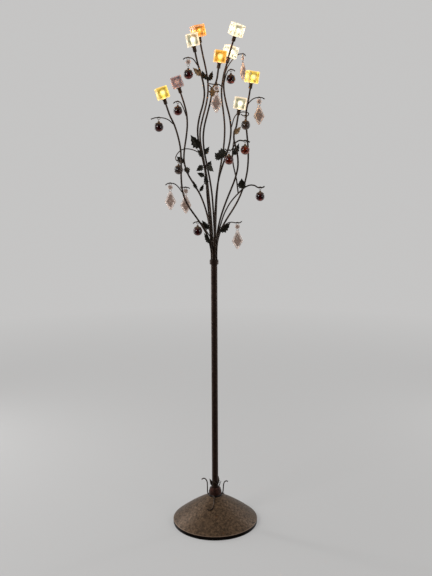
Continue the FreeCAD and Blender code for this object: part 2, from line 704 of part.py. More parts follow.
# ---------------------------------------------------------------- lamps
def make_lamp_models():
    """One cup, insert, bulb and cube at the origin, which every lamp repeats."""
    rim = "sizes.holder_flange_thickness"
    cup_bore = "sizes.insert_diameter / 2 + sizes.slip_clearance"
    insert_foot = "-(sizes.insert_recess + sizes.insert_height)"
    socket_top = "sizes.holder_socket - sizes.holder_height"
    tube_bore = "(%s) / 2" % SEAT_BORE
    cup = turned_body("holder_cup", [
        (tube_bore, "-sizes.holder_height"),
        ("sizes.holder_diameter / 2", "-sizes.holder_height"),
        ("sizes.holder_diameter / 2", "-2 * " + rim),
        ("sizes.holder_flange_diameter / 2", "-" + rim),
        ("sizes.holder_flange_diameter / 2", "0"),
        (cup_bore, "0"),
        (cup_bore, insert_foot),
        ("sizes.wire_hole / 2", insert_foot),
        ("sizes.wire_hole / 2", socket_top),
        (tube_bore, socket_top),
    ])
    blank = cylinder("insert_blank", "sizes.insert_diameter", "sizes.insert_height", insert_foot)
    wells = []
    pins = []
    for side in (-1, 1):
        place = "%d * sizes.pin_spacing / 2" % side
        wells.append(cylinder(
            "pin_well_%d" % (side + 1), "sizes.pin_diameter + 2 * sizes.pass_clearance",
            "sizes.pin_length + sizes.pass_clearance",
            "-sizes.insert_recess - sizes.pin_length - sizes.pass_clearance", place))
        pins.append(cylinder(
            "pin_%d" % (side + 1), "sizes.pin_diameter",
            "sizes.pin_length + sizes.bulb_diameter / 2",
            "-sizes.insert_recess - sizes.pin_length", place))
    insert = cut("holder_insert", blank, joined("pin_wells", wells))

    stem = cylinder(
        "bulb_stem", "sizes.bulb_diameter", "sizes.bulb_length - sizes.bulb_diameter / 2",
        "-sizes.insert_recess")
    dome = bound("Part::Sphere", "bulb_dome", {
        "Radius": "sizes.bulb_diameter / 2",
        "Placement.Base.z": "sizes.bulb_length - sizes.bulb_diameter / 2 - sizes.insert_recess",
    })
    bulb = joined("bulb", [stem, dome] + pins)

    body = doc.addObject("PartDesign::Body", "cube_glass")
    square = attached_sketch(body, "XY_Plane", "cube_square")
    square.setExpression("AttachmentOffset.Base.z", "sizes.cube_lift_gap")
    half = size("cube_side") / 2
    corners = [Vector(-half, -half), Vector(half, -half), Vector(half, half), Vector(-half, half)]
    for number, corner in enumerate(corners):
        square.addGeometry(Part.LineSegment(corner, corners[(number + 1) % 4]))
    for number in range(4):
        square.addConstraint(Sketcher.Constraint(
            "Coincident", number, 2, (number + 1) % 4, 1))
        square.addConstraint(Sketcher.Constraint(
            "Vertical" if number % 2 else "Horizontal", number))
    square.addConstraint(Sketcher.Constraint("Symmetric", 0, 1, 1, 2, -1, 1))
    for edge, way in ((0, "DistanceX"), (1, "DistanceY")):
        index = square.addConstraint(
            Sketcher.Constraint(way, edge, 1, edge, 2, size("cube_side")))
        square.setExpression("Constraints[%d]" % index, "sizes.cube_side")
    pad = body.newObject("PartDesign::Pad", "cube_pad")
    pad.Profile = square
    pad.setExpression("Length", "sizes.cube_side")
    body.Tip = pad
    doc.recompute()
    rounding = body.newObject("PartDesign::Fillet", "cube_edges")
    rounding.Base = (pad, ["Edge%d" % (k + 1) for k in range(len(pad.Shape.Edges))])
    rounding.setExpression("Radius", "sizes.cube_edge")
    body.Tip = rounding
    doc.recompute()
    pocket = body.newObject("PartDesign::Pocket", "bulb_bore")
    pocket.Profile = circle_sketch(
        body, "bore_circle", "sizes.cube_bore / 2", "0", "sizes.cube_lift_gap")
    pocket.Reversed = True
    pocket.setExpression("Length", "sizes.cube_bore_depth")
    body.Tip = pocket
    doc.recompute()
    bore_volume = math.pi * size("cube_bore") ** 2 / 4 * size("cube_bore_depth")
    removed = rounding.Shape.Volume - pocket.Shape.Volume
    if abs(removed / bore_volume - 1) > 0.01:
        raise ValueError("the cube's bore took %.1f mm3, not %.1f" % (removed, bore_volume))
    return cup, insert, bulb, body


# ---------------------------------------------------------------- hanging pieces
def flat_gem(outline, thickness, table_share, centre_z, holes, hole_diameter):
    """A flat glass gem in the XZ plane: full outline in the middle, smaller flat faces
    in front and behind, and small holes through it along Y."""
    layers = []
    for share, y in ((table_share, -thickness / 2), (1, 0), (table_share, thickness / 2)):
        ring = [Vector(x * share, y, centre_z + (z - centre_z) * share) for x, z in outline]
        layers.append(Part.makePolygon(ring + ring[:1]))
    gem = Part.makeLoft(layers, True, True)
    for z in holes:
        gem = gem.cut(Part.makeCylinder(
            hole_diameter / 2, 2 * thickness, Vector(0, -thickness, z), Vector(0, 1, 0)))
    return gem


def wire_ring(name, radius, wire, centre_z, lies_across):
    """A wire ring that stands upright, with its axis along X or, across, along Y."""
    axis = Vector(1, 0, 0) if lies_across else Vector(0, 1, 0)
    ring = bound(
        "Part::Torus", name,
        {"Radius1": radius, "Radius2": "(%s) / 2" % wire, "Placement.Base.z": centre_z},
        Rotation(axis, 90))
    return ring


# Heights under the middle of the twig, down the chain of rings and holes.
RING_CENTRE = (
    "sizes.twig_diameter / 2 + sizes.pass_clearance + sizes.ring_wire / 2 - sizes.ring_radius"
)
RING_BOTTOM = RING_CENTRE + " - sizes.ring_radius"
BEAD_CENTRE = RING_BOTTOM + " - sizes.bead_diameter / 2 + sizes.bead_hole_inset"
LINK_CENTRE = BEAD_CENTRE + (
    " - sizes.bead_diameter / 2 + sizes.bead_hole_inset - sizes.link_radius"
)
LINK_BOTTOM = LINK_CENTRE + " - sizes.link_radius"
DROP_TOP = LINK_BOTTOM + " + sizes.drop_hole_inset"
TABLE_SHARE = 0.62  # flat face of a gem against its outline


def bead_shape():
    """An eight-sided bead that hangs with a corner up, holed at top and bottom."""
    centre = measure(BEAD_CENTRE)
    radius = size("bead_diameter") / 2
    outline = []
    for corner in range(8):
        angle = math.radians(22.5 + 45 * corner)
        outline.append((
            radius / math.cos(math.radians(22.5)) * math.cos(angle),
            centre + radius / math.cos(math.radians(22.5)) * math.sin(angle)))
    reach = radius - size("bead_hole_inset")
    return flat_gem(
        outline, size("bead_thickness"), TABLE_SHARE, centre,
        (centre + reach, centre - reach), size("bead_hole"))


def drop_shape():
    """The kite-shaped drop, widest below its middle."""
    top = measure(DROP_TOP)
    half = size("drop_width") / 2
    tip = size("drop_tip") / 2
    length = size("drop_length")
    shoulder = top - size("drop_shoulder")
    outline = [
        (-tip, top), (tip, top), (half, shoulder), (tip, top - length),
        (-tip, top - length), (-half, shoulder)]
    return flat_gem(
        outline, size("drop_thickness"), TABLE_SHARE, top - length / 2,
        (top - size("drop_hole_inset"),), size("bead_hole"))


def ball_models(name, wire_above, thread_wire):
    """Cap with its eye and ball, hung under a wire's middle height."""
    eye_top = "%s + %s / 2 + sizes.eye_wire / 2 + sizes.pass_clearance / 2" % (
        wire_above, thread_wire)
    eye_centre = "%s - sizes.eye_radius" % eye_top
    cap_top = "%s - sizes.eye_radius" % eye_centre
    cap_foot = "%s - sizes.cap_height" % cap_top
    # The ball's top stands inside the cap by the sag of the cap's foot circle.
    sag = "(sizes.ball_diameter / 2 - sqrt((sizes.ball_diameter / 2) ^ 2" \
        " - (sizes.cap_foot_diameter / 2) ^ 2))"
    ball_centre = "%s + %s - sizes.ball_diameter / 2" % (cap_foot, sag)
    eye = wire_ring(name + "_eye", "sizes.eye_radius", "sizes.eye_wire", eye_centre, True)
    cone = bound("Part::Cone", name + "_cone", {
        "Radius1": "sizes.cap_foot_diameter / 2",
        "Radius2": "sizes.cap_top_diameter / 2",
        "Height": "sizes.cap_height",
        "Placement.Base.z": cap_foot,
    })
    seat = bound("Part::Sphere", name + "_seat", {
        "Radius": "sizes.ball_diameter / 2 + sizes.slip_clearance",
        "Placement.Base.z": ball_centre,
    })
    cap = cut(name + "_cap", joined(name + "_cap_blank", [eye, cone]), seat)
    ball = bound("Part::Sphere", name + "_ball", {
        "Radius": "sizes.ball_diameter / 2",
        "Placement.Base.z": ball_centre,
    })
    return [cap, ball]


def make_pendant_models():
    """The three kinds of pendant, hung from the origin under a twig along X."""
    ring = wire_ring("hang_ring", "sizes.ring_radius", "sizes.ring_wire", RING_CENTRE, False)
    link = wire_ring("hang_link", "sizes.link_radius", "sizes.link_wire", LINK_CENTRE, False)
    bead = feature("bead", bead_shape())
    drop = feature("drop", drop_shape())
    ball = ball_models("plain", RING_BOTTOM, "sizes.ring_wire")
    low_ball = ball_models("beaded", LINK_BOTTOM, "sizes.link_wire")
    return {
        "drop": [ring, bead, link, drop],
        "ball": [ring] + ball,
        "beaded_ball": [ring, bead, link] + low_ball,
    }


# ---------------------------------------------------------------- twigs
# Each twig: its name, the route it is welded to, the height of the weld, the bends on its
# way out, and the bends from its level run on, which carries the pendant. The vines carry
# further twigs. Millimetres from the middle of the collar's top.
VINES = [
    ("vine_1", "branch_7", 70, [
        (20, -7, 112), (34, -11, 158), (53, -14, 193), (73, -15, 217), (92, -16, 236),
        (105, -16, 247), (121, -16, 253), (136, -16, 251)], [
        (145, -16, 244), (162, -16, 244), (168, -16, 248)]),
    ("vine_2", "vine_1", 226, [
        (75, -18, 275), (66, -20, 310), (61, -22, 342), (63, -24, 374), (73, -26, 393),
        (86, -28, 399)], [
        (95, -29, 397), (111, -29, 397), (118, -29, 392)]),
]
TWIGS = [
    ("twig_1", "branch_8", 452, [(-146, -22, 466)], [
        (-165, -22, 472), (-190, -22, 472), (-203, -22, 467)]),
    ("twig_2", "branch_9", 476, [(-100, 58, 504)], [
        (-111, 57, 524), (-126, 57, 524), (-133, 57, 518)]),
    ("twig_3", "branch_2", 634, [(-60, -84, 650)], [
        (-69, -82, 656), (-87, -82, 656), (-94, -82, 651)]),
    ("twig_4", "branch_3", 582, [(41, 12, 605)], [
        (50, 14, 624), (65, 14, 624), (71, 14, 619)]),
    ("twig_5", "branch_6", 500, [(114, 22, 516), (128, 18, 530)], [
        (140, 16, 535), (160, 16, 535), (168, 16, 530)]),
    ("twig_6", "branch_5", 600, [
        (42, 106, 622), (50, 123, 642), (66, 129, 664), (83, 124, 679)], [
        (95, 120, 681), (106, 136, 681), (109, 143, 676)]),
    ("twig_7", "branch_4", 562, [
        (-15, -56, 574), (-18, -78, 578), (-10, -93, 576)], [
        (1, -97, 574), (18, -97, 574), (25, -97, 569)]),
    ("twig_8", "branch_3", 440, [
        (67, -12, 471), (79, -14, 486), (98, -15, 490), (115, -15, 486)], [
        (114, -15, 477), (96, -15, 477), (90, -15, 482)]),
    ("twig_9", "branch_7", 400, [(63, -83, 390), (62, -90, 377)], [
        (57, -91, 369), (42, -91, 369), (36, -91, 374)]),
    ("twig_10", "branch_7", 95, [(31, -28, 118), (47, -41, 131), (60, -51, 134)], [
        (69, -54, 132), (86, -54, 132), (92, -54, 137)]),
    ("twig_11", "branch_2", 78, [(-28, -27, 106), (-38, -38, 126)], [
        (-45, -43, 134), (-62, -43, 134), (-69, -43, 129)]),
    ("twig_12", "branch_8", 232, [(-117, -35, 250), (-126, -37, 258)], [
        (-134, -38, 261), (-151, -38, 261), (-158, -38, 255)]),
    ("twig_13", "branch_8", 240, [(-110, -14, 245), (-110, 5, 246)], [
        (-102, 15, 243), (-86, 15, 243), (-80, 15, 239)]),
    ("twig_14", "branch_1", 346, [
        (-50, 47, 357), (-68, 47, 366), (-90, 46, 370), (-109, 44, 366), (-122, 42, 353),
        (-128, 40, 340)], [
        (-125, 38, 330), (-110, 38, 330), (-104, 38, 335)]),
]

# Each pendant: its node, its kind and the twig that carries it.
PENDANTS = [
    ("ball_pendant_1", "ball", "twig_1"),
    ("ball_pendant_2", "ball", "twig_2"),
    ("ball_pendant_3", "beaded_ball", "twig_3"),
    ("ball_pendant_4", "ball", "twig_4"),
    ("ball_pendant_5", "ball", "vine_2"),
    ("ball_pendant_6", "ball", "twig_9"),
    ("ball_pendant_7", "ball", "vine_1"),
    ("ball_pendant_8", "ball", "twig_11"),
    ("ball_pendant_9", "ball", "twig_8"),
    ("ball_pendant_10", "ball", "twig_14"),
    ("drop_pendant_1", "drop", "twig_12"),
    ("drop_pendant_2", "drop", "twig_13"),
    ("drop_pendant_3", "drop", "twig_10"),
    ("drop_pendant_4", "drop", "twig_7"),
    ("drop_pendant_5", "drop", "twig_5"),
    ("drop_pendant_6", "drop", "twig_6"),
]


def make_twigs(routes):
    """Welded side shoots and twigs, in the order that they carry each other."""
    rods = {}
    level_runs = {}
    for sizes_name, table in (("vine_diameter", VINES), ("twig_diameter", TWIGS)):
        for name, carrier, height, way_out, carrying in table:
            points = [crown_top() + Vector(*bend) for bend in way_out + carrying]
            level = crown_top().z + height
            weld = routes[carrier].weld(level, points[0])
            routes[name] = Route([weld] + points, size(sizes_name))
            rod = swept(routes[name].wire, size(sizes_name))
            if carrier in rods:
                rods[name] = rod.cut(rods[carrier])
            else:
                rods[name] = routes[carrier].trimmed(rod, level)
            level_runs[name] = points[len(way_out)], points[len(way_out) + 1]
    keep("twigs", feature("twig_rods", Part.makeCompound(list(rods.values()))))
    return level_runs


def hang_placement(start, end, diameter):
    """Under the middle of a level run, with local X along the run. On a thicker rod
    the ring hangs higher, so that it rests on the rod's top as on a twig."""
    way = (end - start).normalize()
    turn = math.degrees(math.atan2(way.y, way.x))
    lift = Vector(0, 0, (diameter - size("twig_diameter")) / 2)
    return Placement((start + end) / 2 + lift, Rotation(Vector(0, 0, 1), turn))


# ---------------------------------------------------------------- leaves
# Half of the toothed outline: share of the length, share of the half width.
LEAF_EDGE = [
    (0.16, 0.10), (0.20, 0.62), (0.29, 0.50), (0.36, 1.00), (0.48, 0.70), (0.56, 0.95),
    (0.66, 0.55), (0.74, 0.62), (0.84, 0.28), (1.00, 0.0)]
# Each leaf: the route it grows from, the height there, its tip, its width, and its roll
# about its own rib in degrees. Millimetres from the middle of the collar's top.
LEAVES = [
    ("branch_2", 370, (-73, -80, 418), 34, 0),
    ("branch_4", 352, (-14, -54, 380), 20, -24),
    ("branch_2", 345, (-52, -72, 372), 18, 30),
    ("branch_4", 322, (0, -62, 300), 24, 12),
    ("branch_2", 322, (-56, -62, 302), 24, -20),
    ("branch_2", 283, (-54, -58, 296), 18, 6),
    ("branch_2", 255, (-30, -68, 286), 20, 25),
    ("branch_9", 232, (-70, 36, 264), 15, -20),
    ("branch_9", 222, (-34, 42, 252), 15, 20),
    ("branch_9", 318, (-124, 54, 344), 24, 10),
    ("branch_9", 310, (-84, 46, 284), 24, -15),
    ("branch_3", 366, (6, -32, 342), 36, 5),
    ("vine_2", 346, (83, -44, 390), 24, 15),
    ("vine_1", 236, (92, -34, 276), 32, 0),
    ("branch_9", 98, (-40, 2, 134), 24, -12),
    ("branch_8", 54, (-33, -30, 96), 18, 10),
    ("vine_1", 92, (55, -20, 128), 28, 10),
    ("branch_4", 531, (13, -58, 582), 36, 8),
    ("branch_1", 590, (-38, 42, 624), 18, -20),
    ("branch_1", 586, (-2, 48, 622), 20, 20),
    ("branch_2", 598, (-64, -92, 626), 20, 12),
    ("branch_7", 416, (88, -84, 444), 18, -10),
    ("branch_5", 330, (4, 44, 356), 28, 0),
    ("branch_1", 300, (-8, 32, 330), 26, 10),
]
# Upright leaves that wrap the pole's foot: compass way in degrees, height, width.
FOOT_LEAVES = [(-100, 34, 20), (-20, 26, 16), (60, 32, 20), (150, 26, 18)]


def leaf_solid(base, tip, width, facing):
    """Two folded, toothed half blades on a rib. facing is the way the face looks."""
    rib_way = tip - base
    length = rib_way.Length
    rib_way.normalize()
    across = rib_way.cross(facing).normalize()
    face = across.cross(rib_way).normalize()
    thickness = size("leaf_thickness")
    fold = math.radians(size("leaf_fold"))
    pieces = [Part.makeCylinder(
        size("leaf_rib") / 2, length * LEAF_EDGE[-2][0], base, rib_way)]
    for side in (-1, 1):
        out = across * side * math.cos(fold) + face * math.sin(fold)
        edge = [
            base + rib_way * length * along + out * width / 2 * wide
            for along, wide in LEAF_EDGE]
        root = base + rib_way * length * LEAF_EDGE[0][0]
        blade = Part.Face(Part.makePolygon([root] + edge + [root]))
        # Both halves go back the same way, so that they meet in a face along the rib.
        pieces.append(blade.extrude(face * (-thickness / math.cos(fold))))
    return pieces[0].fuse(pieces[1:]).removeSplitter()


def make_leaves(routes):
    """Leaves welded to the branches, their faces mostly towards the front."""
    solids = []
    front = Vector(0, -1, 0)
    for carrier, height, tip, width, roll in LEAVES:
        level = crown_top().z + height
        point = crown_top() + Vector(*tip)
        # The stalk leaves the front of the tube, so that the blade passes before it.
        reach = point.distanceToPoint(routes[carrier].at(level)[0])
        base = routes[carrier].weld(level, point + front * reach)
        facing = Rotation(point - base, roll).multVec(front)
        leaf = leaf_solid(base, point, width, facing)
        solids.append(routes[carrier].trimmed(leaf, level))
    keep("leaves", feature("leaf_sheets", Part.makeCompound(solids)))


# ---------------------------------------------------------------- roots at the foot
def cone_height_at(radius):
    """Height of the bowed cone's outside at a radius."""
    foot = Vector(measure(BASE_RADIUS), measure(LIP_TOP), 0)
    top = Vector(size("shell_top_diameter") / 2, measure(SHELL_TOP), 0)
    bow = size("dome_radius")
    chord = top - foot
    inward = Vector(-chord.y, chord.x, 0).normalize()
    centre = (foot + top) / 2 + inward * math.sqrt(bow**2 - (chord.Length / 2) ** 2)
    return centre.y + math.sqrt(bow**2 - (radius - centre.x) ** 2)


# Standing roots: compass way in degrees and (distance from the ferrule's edge, height
# above it) of each bend. Lying roots: compass way, and (distance outside the ferrule's
# edge, sideways drift) of each bend on the cone.
STANDING_ROOTS = [
    (180, [(1, 15), (1, 34), (2, 51), (8, 61), (16, 63), (21, 58)]),
    (0, [(2, 16), (3, 34), (5, 46), (12, 53), (19, 50)]),
]
LYING_ROOTS = [
    (-98, [(8, 1), (22, 2), (36, 2), (46, -3), (49, -12), (43, -18)]),
    (75, [(8, 1), (22, 3), (36, 0), (46, -6), (49, -14)]),
]


def make_roots():
    """Curled roots welded to the ferrule's lower ring, and leaves round the pole."""
    half = size("tendril_diameter") / 2
    edge = size("ferrule_flange_diameter") / 2
    foot = measure(SHELL_TOP)
    start_height = foot + size("ferrule_flange_height") / 4 + half
    solids = []
    for compass, bends in STANDING_ROOTS:
        out = Rotation(Vector(0, 0, 1), compass).multVec(Vector(1, 0, 0))
        points = [out * (edge - size("weld_depth")) + Vector(0, 0, start_height)]
        points.append(out * (edge + half) + Vector(0, 0, start_height + half))
        for distance, height in bends:
            points.append(out * (edge + half + distance) + Vector(0, 0, foot + height))
        solids.append(swept(rounded_route(points), 2 * half))
    for compass, bends in LYING_ROOTS:
        out = Rotation(Vector(0, 0, 1), compass).multVec(Vector(1, 0, 0))
        aside = Vector(-out.y, out.x, 0)
        points = [out * (edge - size("weld_depth")) + Vector(0, 0, start_height)]
        for distance, drift in bends:
            place = out * (edge + distance) + aside * drift
            rise = half + size("pass_clearance")
            slope = size("cone_height") / (measure(BASE_RADIUS) - edge)
            lift = rise * math.sqrt(1 + slope**2) + size("pass_clearance")
            place.z = cone_height_at(math.hypot(place.x, place.y)) + lift
            points.append(place)
        solids.append(swept(rounded_route(points), 2 * half))
    hub_top = measure(FERRULE_TOP)
    for compass, height, width in FOOT_LEAVES:
        out = Rotation(Vector(0, 0, 1), compass).multVec(Vector(1, 0, 0))
        wall = measure(POLE_BORE) + size("pole_wall") + size("leaf_rib") / 2
        base = out * wall + Vector(0, 0, hub_top - size("weld_depth"))
        tip = out * (wall + height / 3) + Vector(0, 0, hub_top + height)
        solids.append(leaf_solid(base, tip, width, out * -1))
    keep("root_tendrils", feature("roots", Part.makeCompound(solids)))


# ---------------------------------------------------------------- leads
def make_wiring(branch_routes):
    """Cables in the base and pole, and a lead in each branch."""
    cable = size("lamp_cable_diameter")
    floor = measure(WEIGHT_TOP)
    gap = size("pass_clearance")
    back = size("transformer_offset") - size("transformer_width") / 2
    window = floor + size("nipple_window_height")
    low = Vector(0, back - gap, window - size("nipple_window_height") / 2)
    entry = [
        low,
        Vector(0, back - gap - cable, low.z),
        Vector(0, size("nipple_diameter") / 2, window + size("nipple_window_height") / 3),
        Vector(0, 0, window + size("nipple_window_height")),
        Vector(0, 0, measure(SHELL_TOP)),
        Vector(0, 0, measure(POLE_TOP) - cable),
    ]
    solids = [swept(rounded_route(entry), cable)]
    inlet = Vector(0, measure(BASE_RADIUS) - size("shell_wall") - size("weight_gap"), 0)
    inlet.z = measure(WEIGHT_BOTTOM) + size("lip_height") / 2
    side = -size("transformer_length") / 2
    terminal = Vector(-size("terminal_offset"), size("terminal_length") / 2 + gap, 0)
    terminal.z = floor + size("terminal_height") / 2
    supply = [
        inlet,
        inlet + Vector(0, -cable, cable / 4),
        inlet + Vector(0, -3 * cable, floor - inlet.z + cable),
        inlet + Vector(side, -6 * cable, floor - inlet.z + cable),
        Vector(side - cable * 3, size("transformer_offset"), terminal.z),
        terminal + Vector(0, cable * 3, 0),
        terminal,
    ]
    solids.append(swept(rounded_route(supply), cable))
    for route in branch_routes:
        solids.append(swept(route.wire, size("lead_diameter")))
    keep("wiring", feature("leads", Part.makeCompound(solids)))


# ---------------------------------------------------------------- the lamp
make_base()
make_inlet()
make_electrics()
make_foot()
make_pole()
make_collar()
make_crown_block()
doc.recompute()

cup_model, insert_model, bulb_model, cube_model = make_lamp_models()
pendant_models = make_pendant_models()
doc.recompute()

routes = {}
bulbs = []
tube_bore = size("branch_diameter") - 2 * size("branch_wall")
for number, (seat_name, middle, lean, compass, turn, bends) in enumerate(BRANCHES, start=1):
    placement = lamp_placement(middle, lean, compass, turn)
    name = "branch_%d" % number
    routes[name] = Route(branch_points(seat_name, placement, bends), size("branch_diameter"))
    outside = swept(routes[name].wire, size("branch_diameter"))
    inside = swept(routes[name].wire, tube_bore)
    keep(name, feature(name + "_tube", outside.cut(inside)))
    keep("lamp_holder_%d" % number, group(
        "holder_%d" % number, [cup_model, insert_model], placement))
    keep("glass_cube_%d" % number, group("cube_%d" % number, [cube_model], placement))
    bulbs.append(group("bulb_%d" % number, [bulb_model], placement))
keep("bulbs", group("bulb_set", bulbs))

branch_routes = [routes["branch_%d" % (k + 1)] for k in range(BRANCH_COUNT)]
level_runs = make_twigs(routes)
for name, kind, twig in PENDANTS:
    start, end = level_runs[twig]
    keep(name, group(
        name + "_pieces", pendant_models[kind],
        hang_placement(start, end, routes[twig].diameter)))
make_leaves(routes)
make_roots()
make_wiring(branch_routes)
doc.recompute()

# ---------------------------------------------------------------- checks and files
for item in doc.Objects:
    if "Invalid" in item.State or "Error" in item.State:
        raise ValueError("%s did not compute: %s" % (item.Label, item.State))
for label, item in NODES.items():
    if item.Shape.isNull() or not item.Shape.isValid() or not item.Shape.Solids:
        raise ValueError("%s has no valid solid" % label)

os.makedirs("parts", exist_ok=True)
for label, item in NODES.items():
    item.Shape.exportStep("parts/%s.step" % label)
print("wrote %d sub-parts, %d solids" % (
    len(NODES), sum(len(item.Shape.Solids) for item in NODES.values())))
for name, *_ in PENDANTS:
    place = NODES[name].Placement
    way = place.Rotation.multVec(Vector(1, 0, 0))
    print("%s hangs at %.3f %.3f %.3f along %.4f %.4f" % (
        name, place.Base.x, place.Base.y, place.Base.z, way.x, way.y))
for number in range(1, BRANCH_COUNT + 1):
    place = NODES["glass_cube_%d" % number].Placement
    way = place.Rotation.multVec(Vector(0, 0, 1))
    print("glass_cube_%d lifts from %.3f %.3f %.3f along %.5f %.5f %.5f" % (
        number, place.Base.x, place.Base.y, place.Base.z, way.x, way.y, way.z))
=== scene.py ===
# %% [markdown]
# # Dressing a tree floor lamp
# The frame holds the lamp's metalwork at its real size: base, pole, nine branch tubes, twigs,
# leaves and everything that hangs. This lesson adds what a frame can't show: glass that bends
# light, hammered sheet, curved leaves and rubbed bronze. Each step first says what the real
# thing is and why the chosen way suits it.

# %% Load the frame
import json
import math

import bpy
import numpy as np
from mathutils import Matrix, Vector


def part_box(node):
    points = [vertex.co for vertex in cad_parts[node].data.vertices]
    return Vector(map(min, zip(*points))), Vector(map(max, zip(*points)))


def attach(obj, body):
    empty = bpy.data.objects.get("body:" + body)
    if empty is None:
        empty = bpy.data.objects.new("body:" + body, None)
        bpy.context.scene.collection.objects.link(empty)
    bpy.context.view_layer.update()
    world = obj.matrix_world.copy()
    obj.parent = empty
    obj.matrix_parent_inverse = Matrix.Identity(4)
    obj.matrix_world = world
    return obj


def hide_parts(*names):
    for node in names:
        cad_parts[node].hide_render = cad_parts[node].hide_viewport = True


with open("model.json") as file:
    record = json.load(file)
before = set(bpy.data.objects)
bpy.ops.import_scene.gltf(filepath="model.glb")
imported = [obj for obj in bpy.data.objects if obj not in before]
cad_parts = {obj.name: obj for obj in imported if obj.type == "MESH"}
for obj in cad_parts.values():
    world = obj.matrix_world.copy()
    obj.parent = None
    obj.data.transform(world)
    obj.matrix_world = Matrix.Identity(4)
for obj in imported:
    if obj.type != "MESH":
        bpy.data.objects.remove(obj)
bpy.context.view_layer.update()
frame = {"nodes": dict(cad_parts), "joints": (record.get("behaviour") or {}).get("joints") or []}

MM = 0.001
swings = {joint["child"]: joint for joint in frame["joints"]
          if joint["child"].startswith(("ball_", "drop_"))}


def placed(name, data):
    """A new object that holds this data, linked to the scene."""
    made = bpy.data.objects.new(name, data)
    bpy.context.scene.collection.objects.link(made)
    return made


# %% [markdown]
# ## The camera
# The picture is taken from about 2.9 m away, from the height of the lower leaves, looking a
# little down. A long side of 576 pixels and a focal length of 857 pixels make a 53.6 mm lens
# on a 36 mm sensor. A quarter of a degree of roll lets the pole drift left as it rises.

# %% Camera
FOCAL_PIXELS = 857
LONG_SIDE_PIXELS = 576
SENSOR = 36
CAMERA_PLACE = (0.0061, -2.858, 1.432)
LOOKS_DOWN = 11.44
ROLL = -0.25
camera_data = bpy.data.cameras.new("camera")
camera_data.sensor_width = SENSOR
camera_data.lens = SENSOR * FOCAL_PIXELS / LONG_SIDE_PIXELS
camera = placed("camera", camera_data)
camera.matrix_world = (
    Matrix.Translation(CAMERA_PLACE)
    @ Matrix.Rotation(math.radians(90 - LOOKS_DOWN), 4, "X")
    @ Matrix.Rotation(math.radians(ROLL), 4, "Z")
)
bpy.context.scene.camera = camera
print("lens %.1f mm" % camera_data.lens)

# %% [markdown]
# ## Nodes with less typing
# A material is a small graph. One helper adds a node, sets its fields and fills its inputs,
# either with a number or with another node's output. A second one starts a node group, whose
# sockets are made through its interface.


# %% Node helpers
def node(tree, kind, inputs=None, **fields):
    """Adds one node; an input is a value or the output socket that feeds it."""
    made = tree.nodes.new(kind)
    for name, value in fields.items():
        setattr(made, name, value)
    for name, value in (inputs or {}).items():
        if isinstance(value, bpy.types.NodeSocket):
            tree.links.new(value, made.inputs[name])
        else:
            made.inputs[name].default_value = value
    return made


def new_group(name, inputs, outputs):
    """An empty node group with named sockets, and its two end nodes."""
    tree = bpy.data.node_groups.new(name, "ShaderNodeTree")
    for label, kind, value in inputs:
        socket = tree.interface.new_socket(label, in_out="INPUT", socket_type=kind)
        socket.default_value = value
    for label, kind in outputs:
        tree.interface.new_socket(label, in_out="OUTPUT", socket_type=kind)
    return tree, tree.nodes.new("NodeGroupInput"), tree.nodes.new("NodeGroupOutput")


def new_material(name):
    """A material, its node tree and its shader."""
    made = bpy.data.materials.new(name)
    made.use_nodes = True
    return made, made.node_tree, made.node_tree.nodes["Principled BSDF"]


def constants(shader, values):
    """Sets numbers and colours on the shader's own sockets."""
    for name, value in values.items():
        shader.inputs[name].default_value = value


def own_axes(tree):
    """Each point's place in its object's own coordinates."""
    return node(tree, "ShaderNodeTexCoord").outputs["Object"]


def clouds(tree, place, scale, detail=2.0, **more):
    """Cloudy values between 0 and 1."""
    return node(tree, "ShaderNodeTexNoise", {
        "Vector": place, "Scale": scale, "Detail": detail, **more}).outputs["Fac"]


def bumped(tree, shader, height, strength, distance):
    """Tilts the shader's normal by a height."""
    relief = node(tree, "ShaderNodeBump", {
        "Strength": strength, "Distance": distance, "Height": height})
    tree.links.new(relief.outputs["Normal"], shader.inputs["Normal"])


def mixed(tree, factor, low, high):
    """A colour between two; each is red, green and blue, or another node's output."""
    low, high = (tone + (1,) if isinstance(tone, tuple) else tone for tone in (low, high))
    mix = node(tree, "ShaderNodeMix", {0: factor, 6: low, 7: high}, data_type="RGBA")
    return mix.outputs[2]


def remapped(tree, value, low, high, to_low=0.0, to_high=1.0):
    """A value moved from one range to another and held inside it."""
    ranged = node(tree, "ShaderNodeMapRange", {
        "Value": value, "From Min": low, "From Max": high,
        "To Min": to_low, "To Max": to_high})
    return ranged.outputs["Result"]


def maths(tree, operation, first, second=0.0, clamp=False):
    """One sum on two values, held between 0 and 1 where clamp is set."""
    return node(tree, "ShaderNodeMath", {0: first, 1: second}, operation=operation,
                use_clamp=clamp).outputs[0]


COLOUR = "NodeSocketColor"
NUMBER = "NodeSocketFloat"
VECTOR = "NodeSocketVector"

# %% [markdown]
# ## Rubbed bronze
# The metal is steel with a dark brown finish that is rubbed lighter in patches, with a fine
# grain like bark. One group serves the pole, branches, twigs, leaves and base, each with its
# own colours and scale. It reads the piece's own coordinates, so the pattern stays on the
# metal when a piece swings.


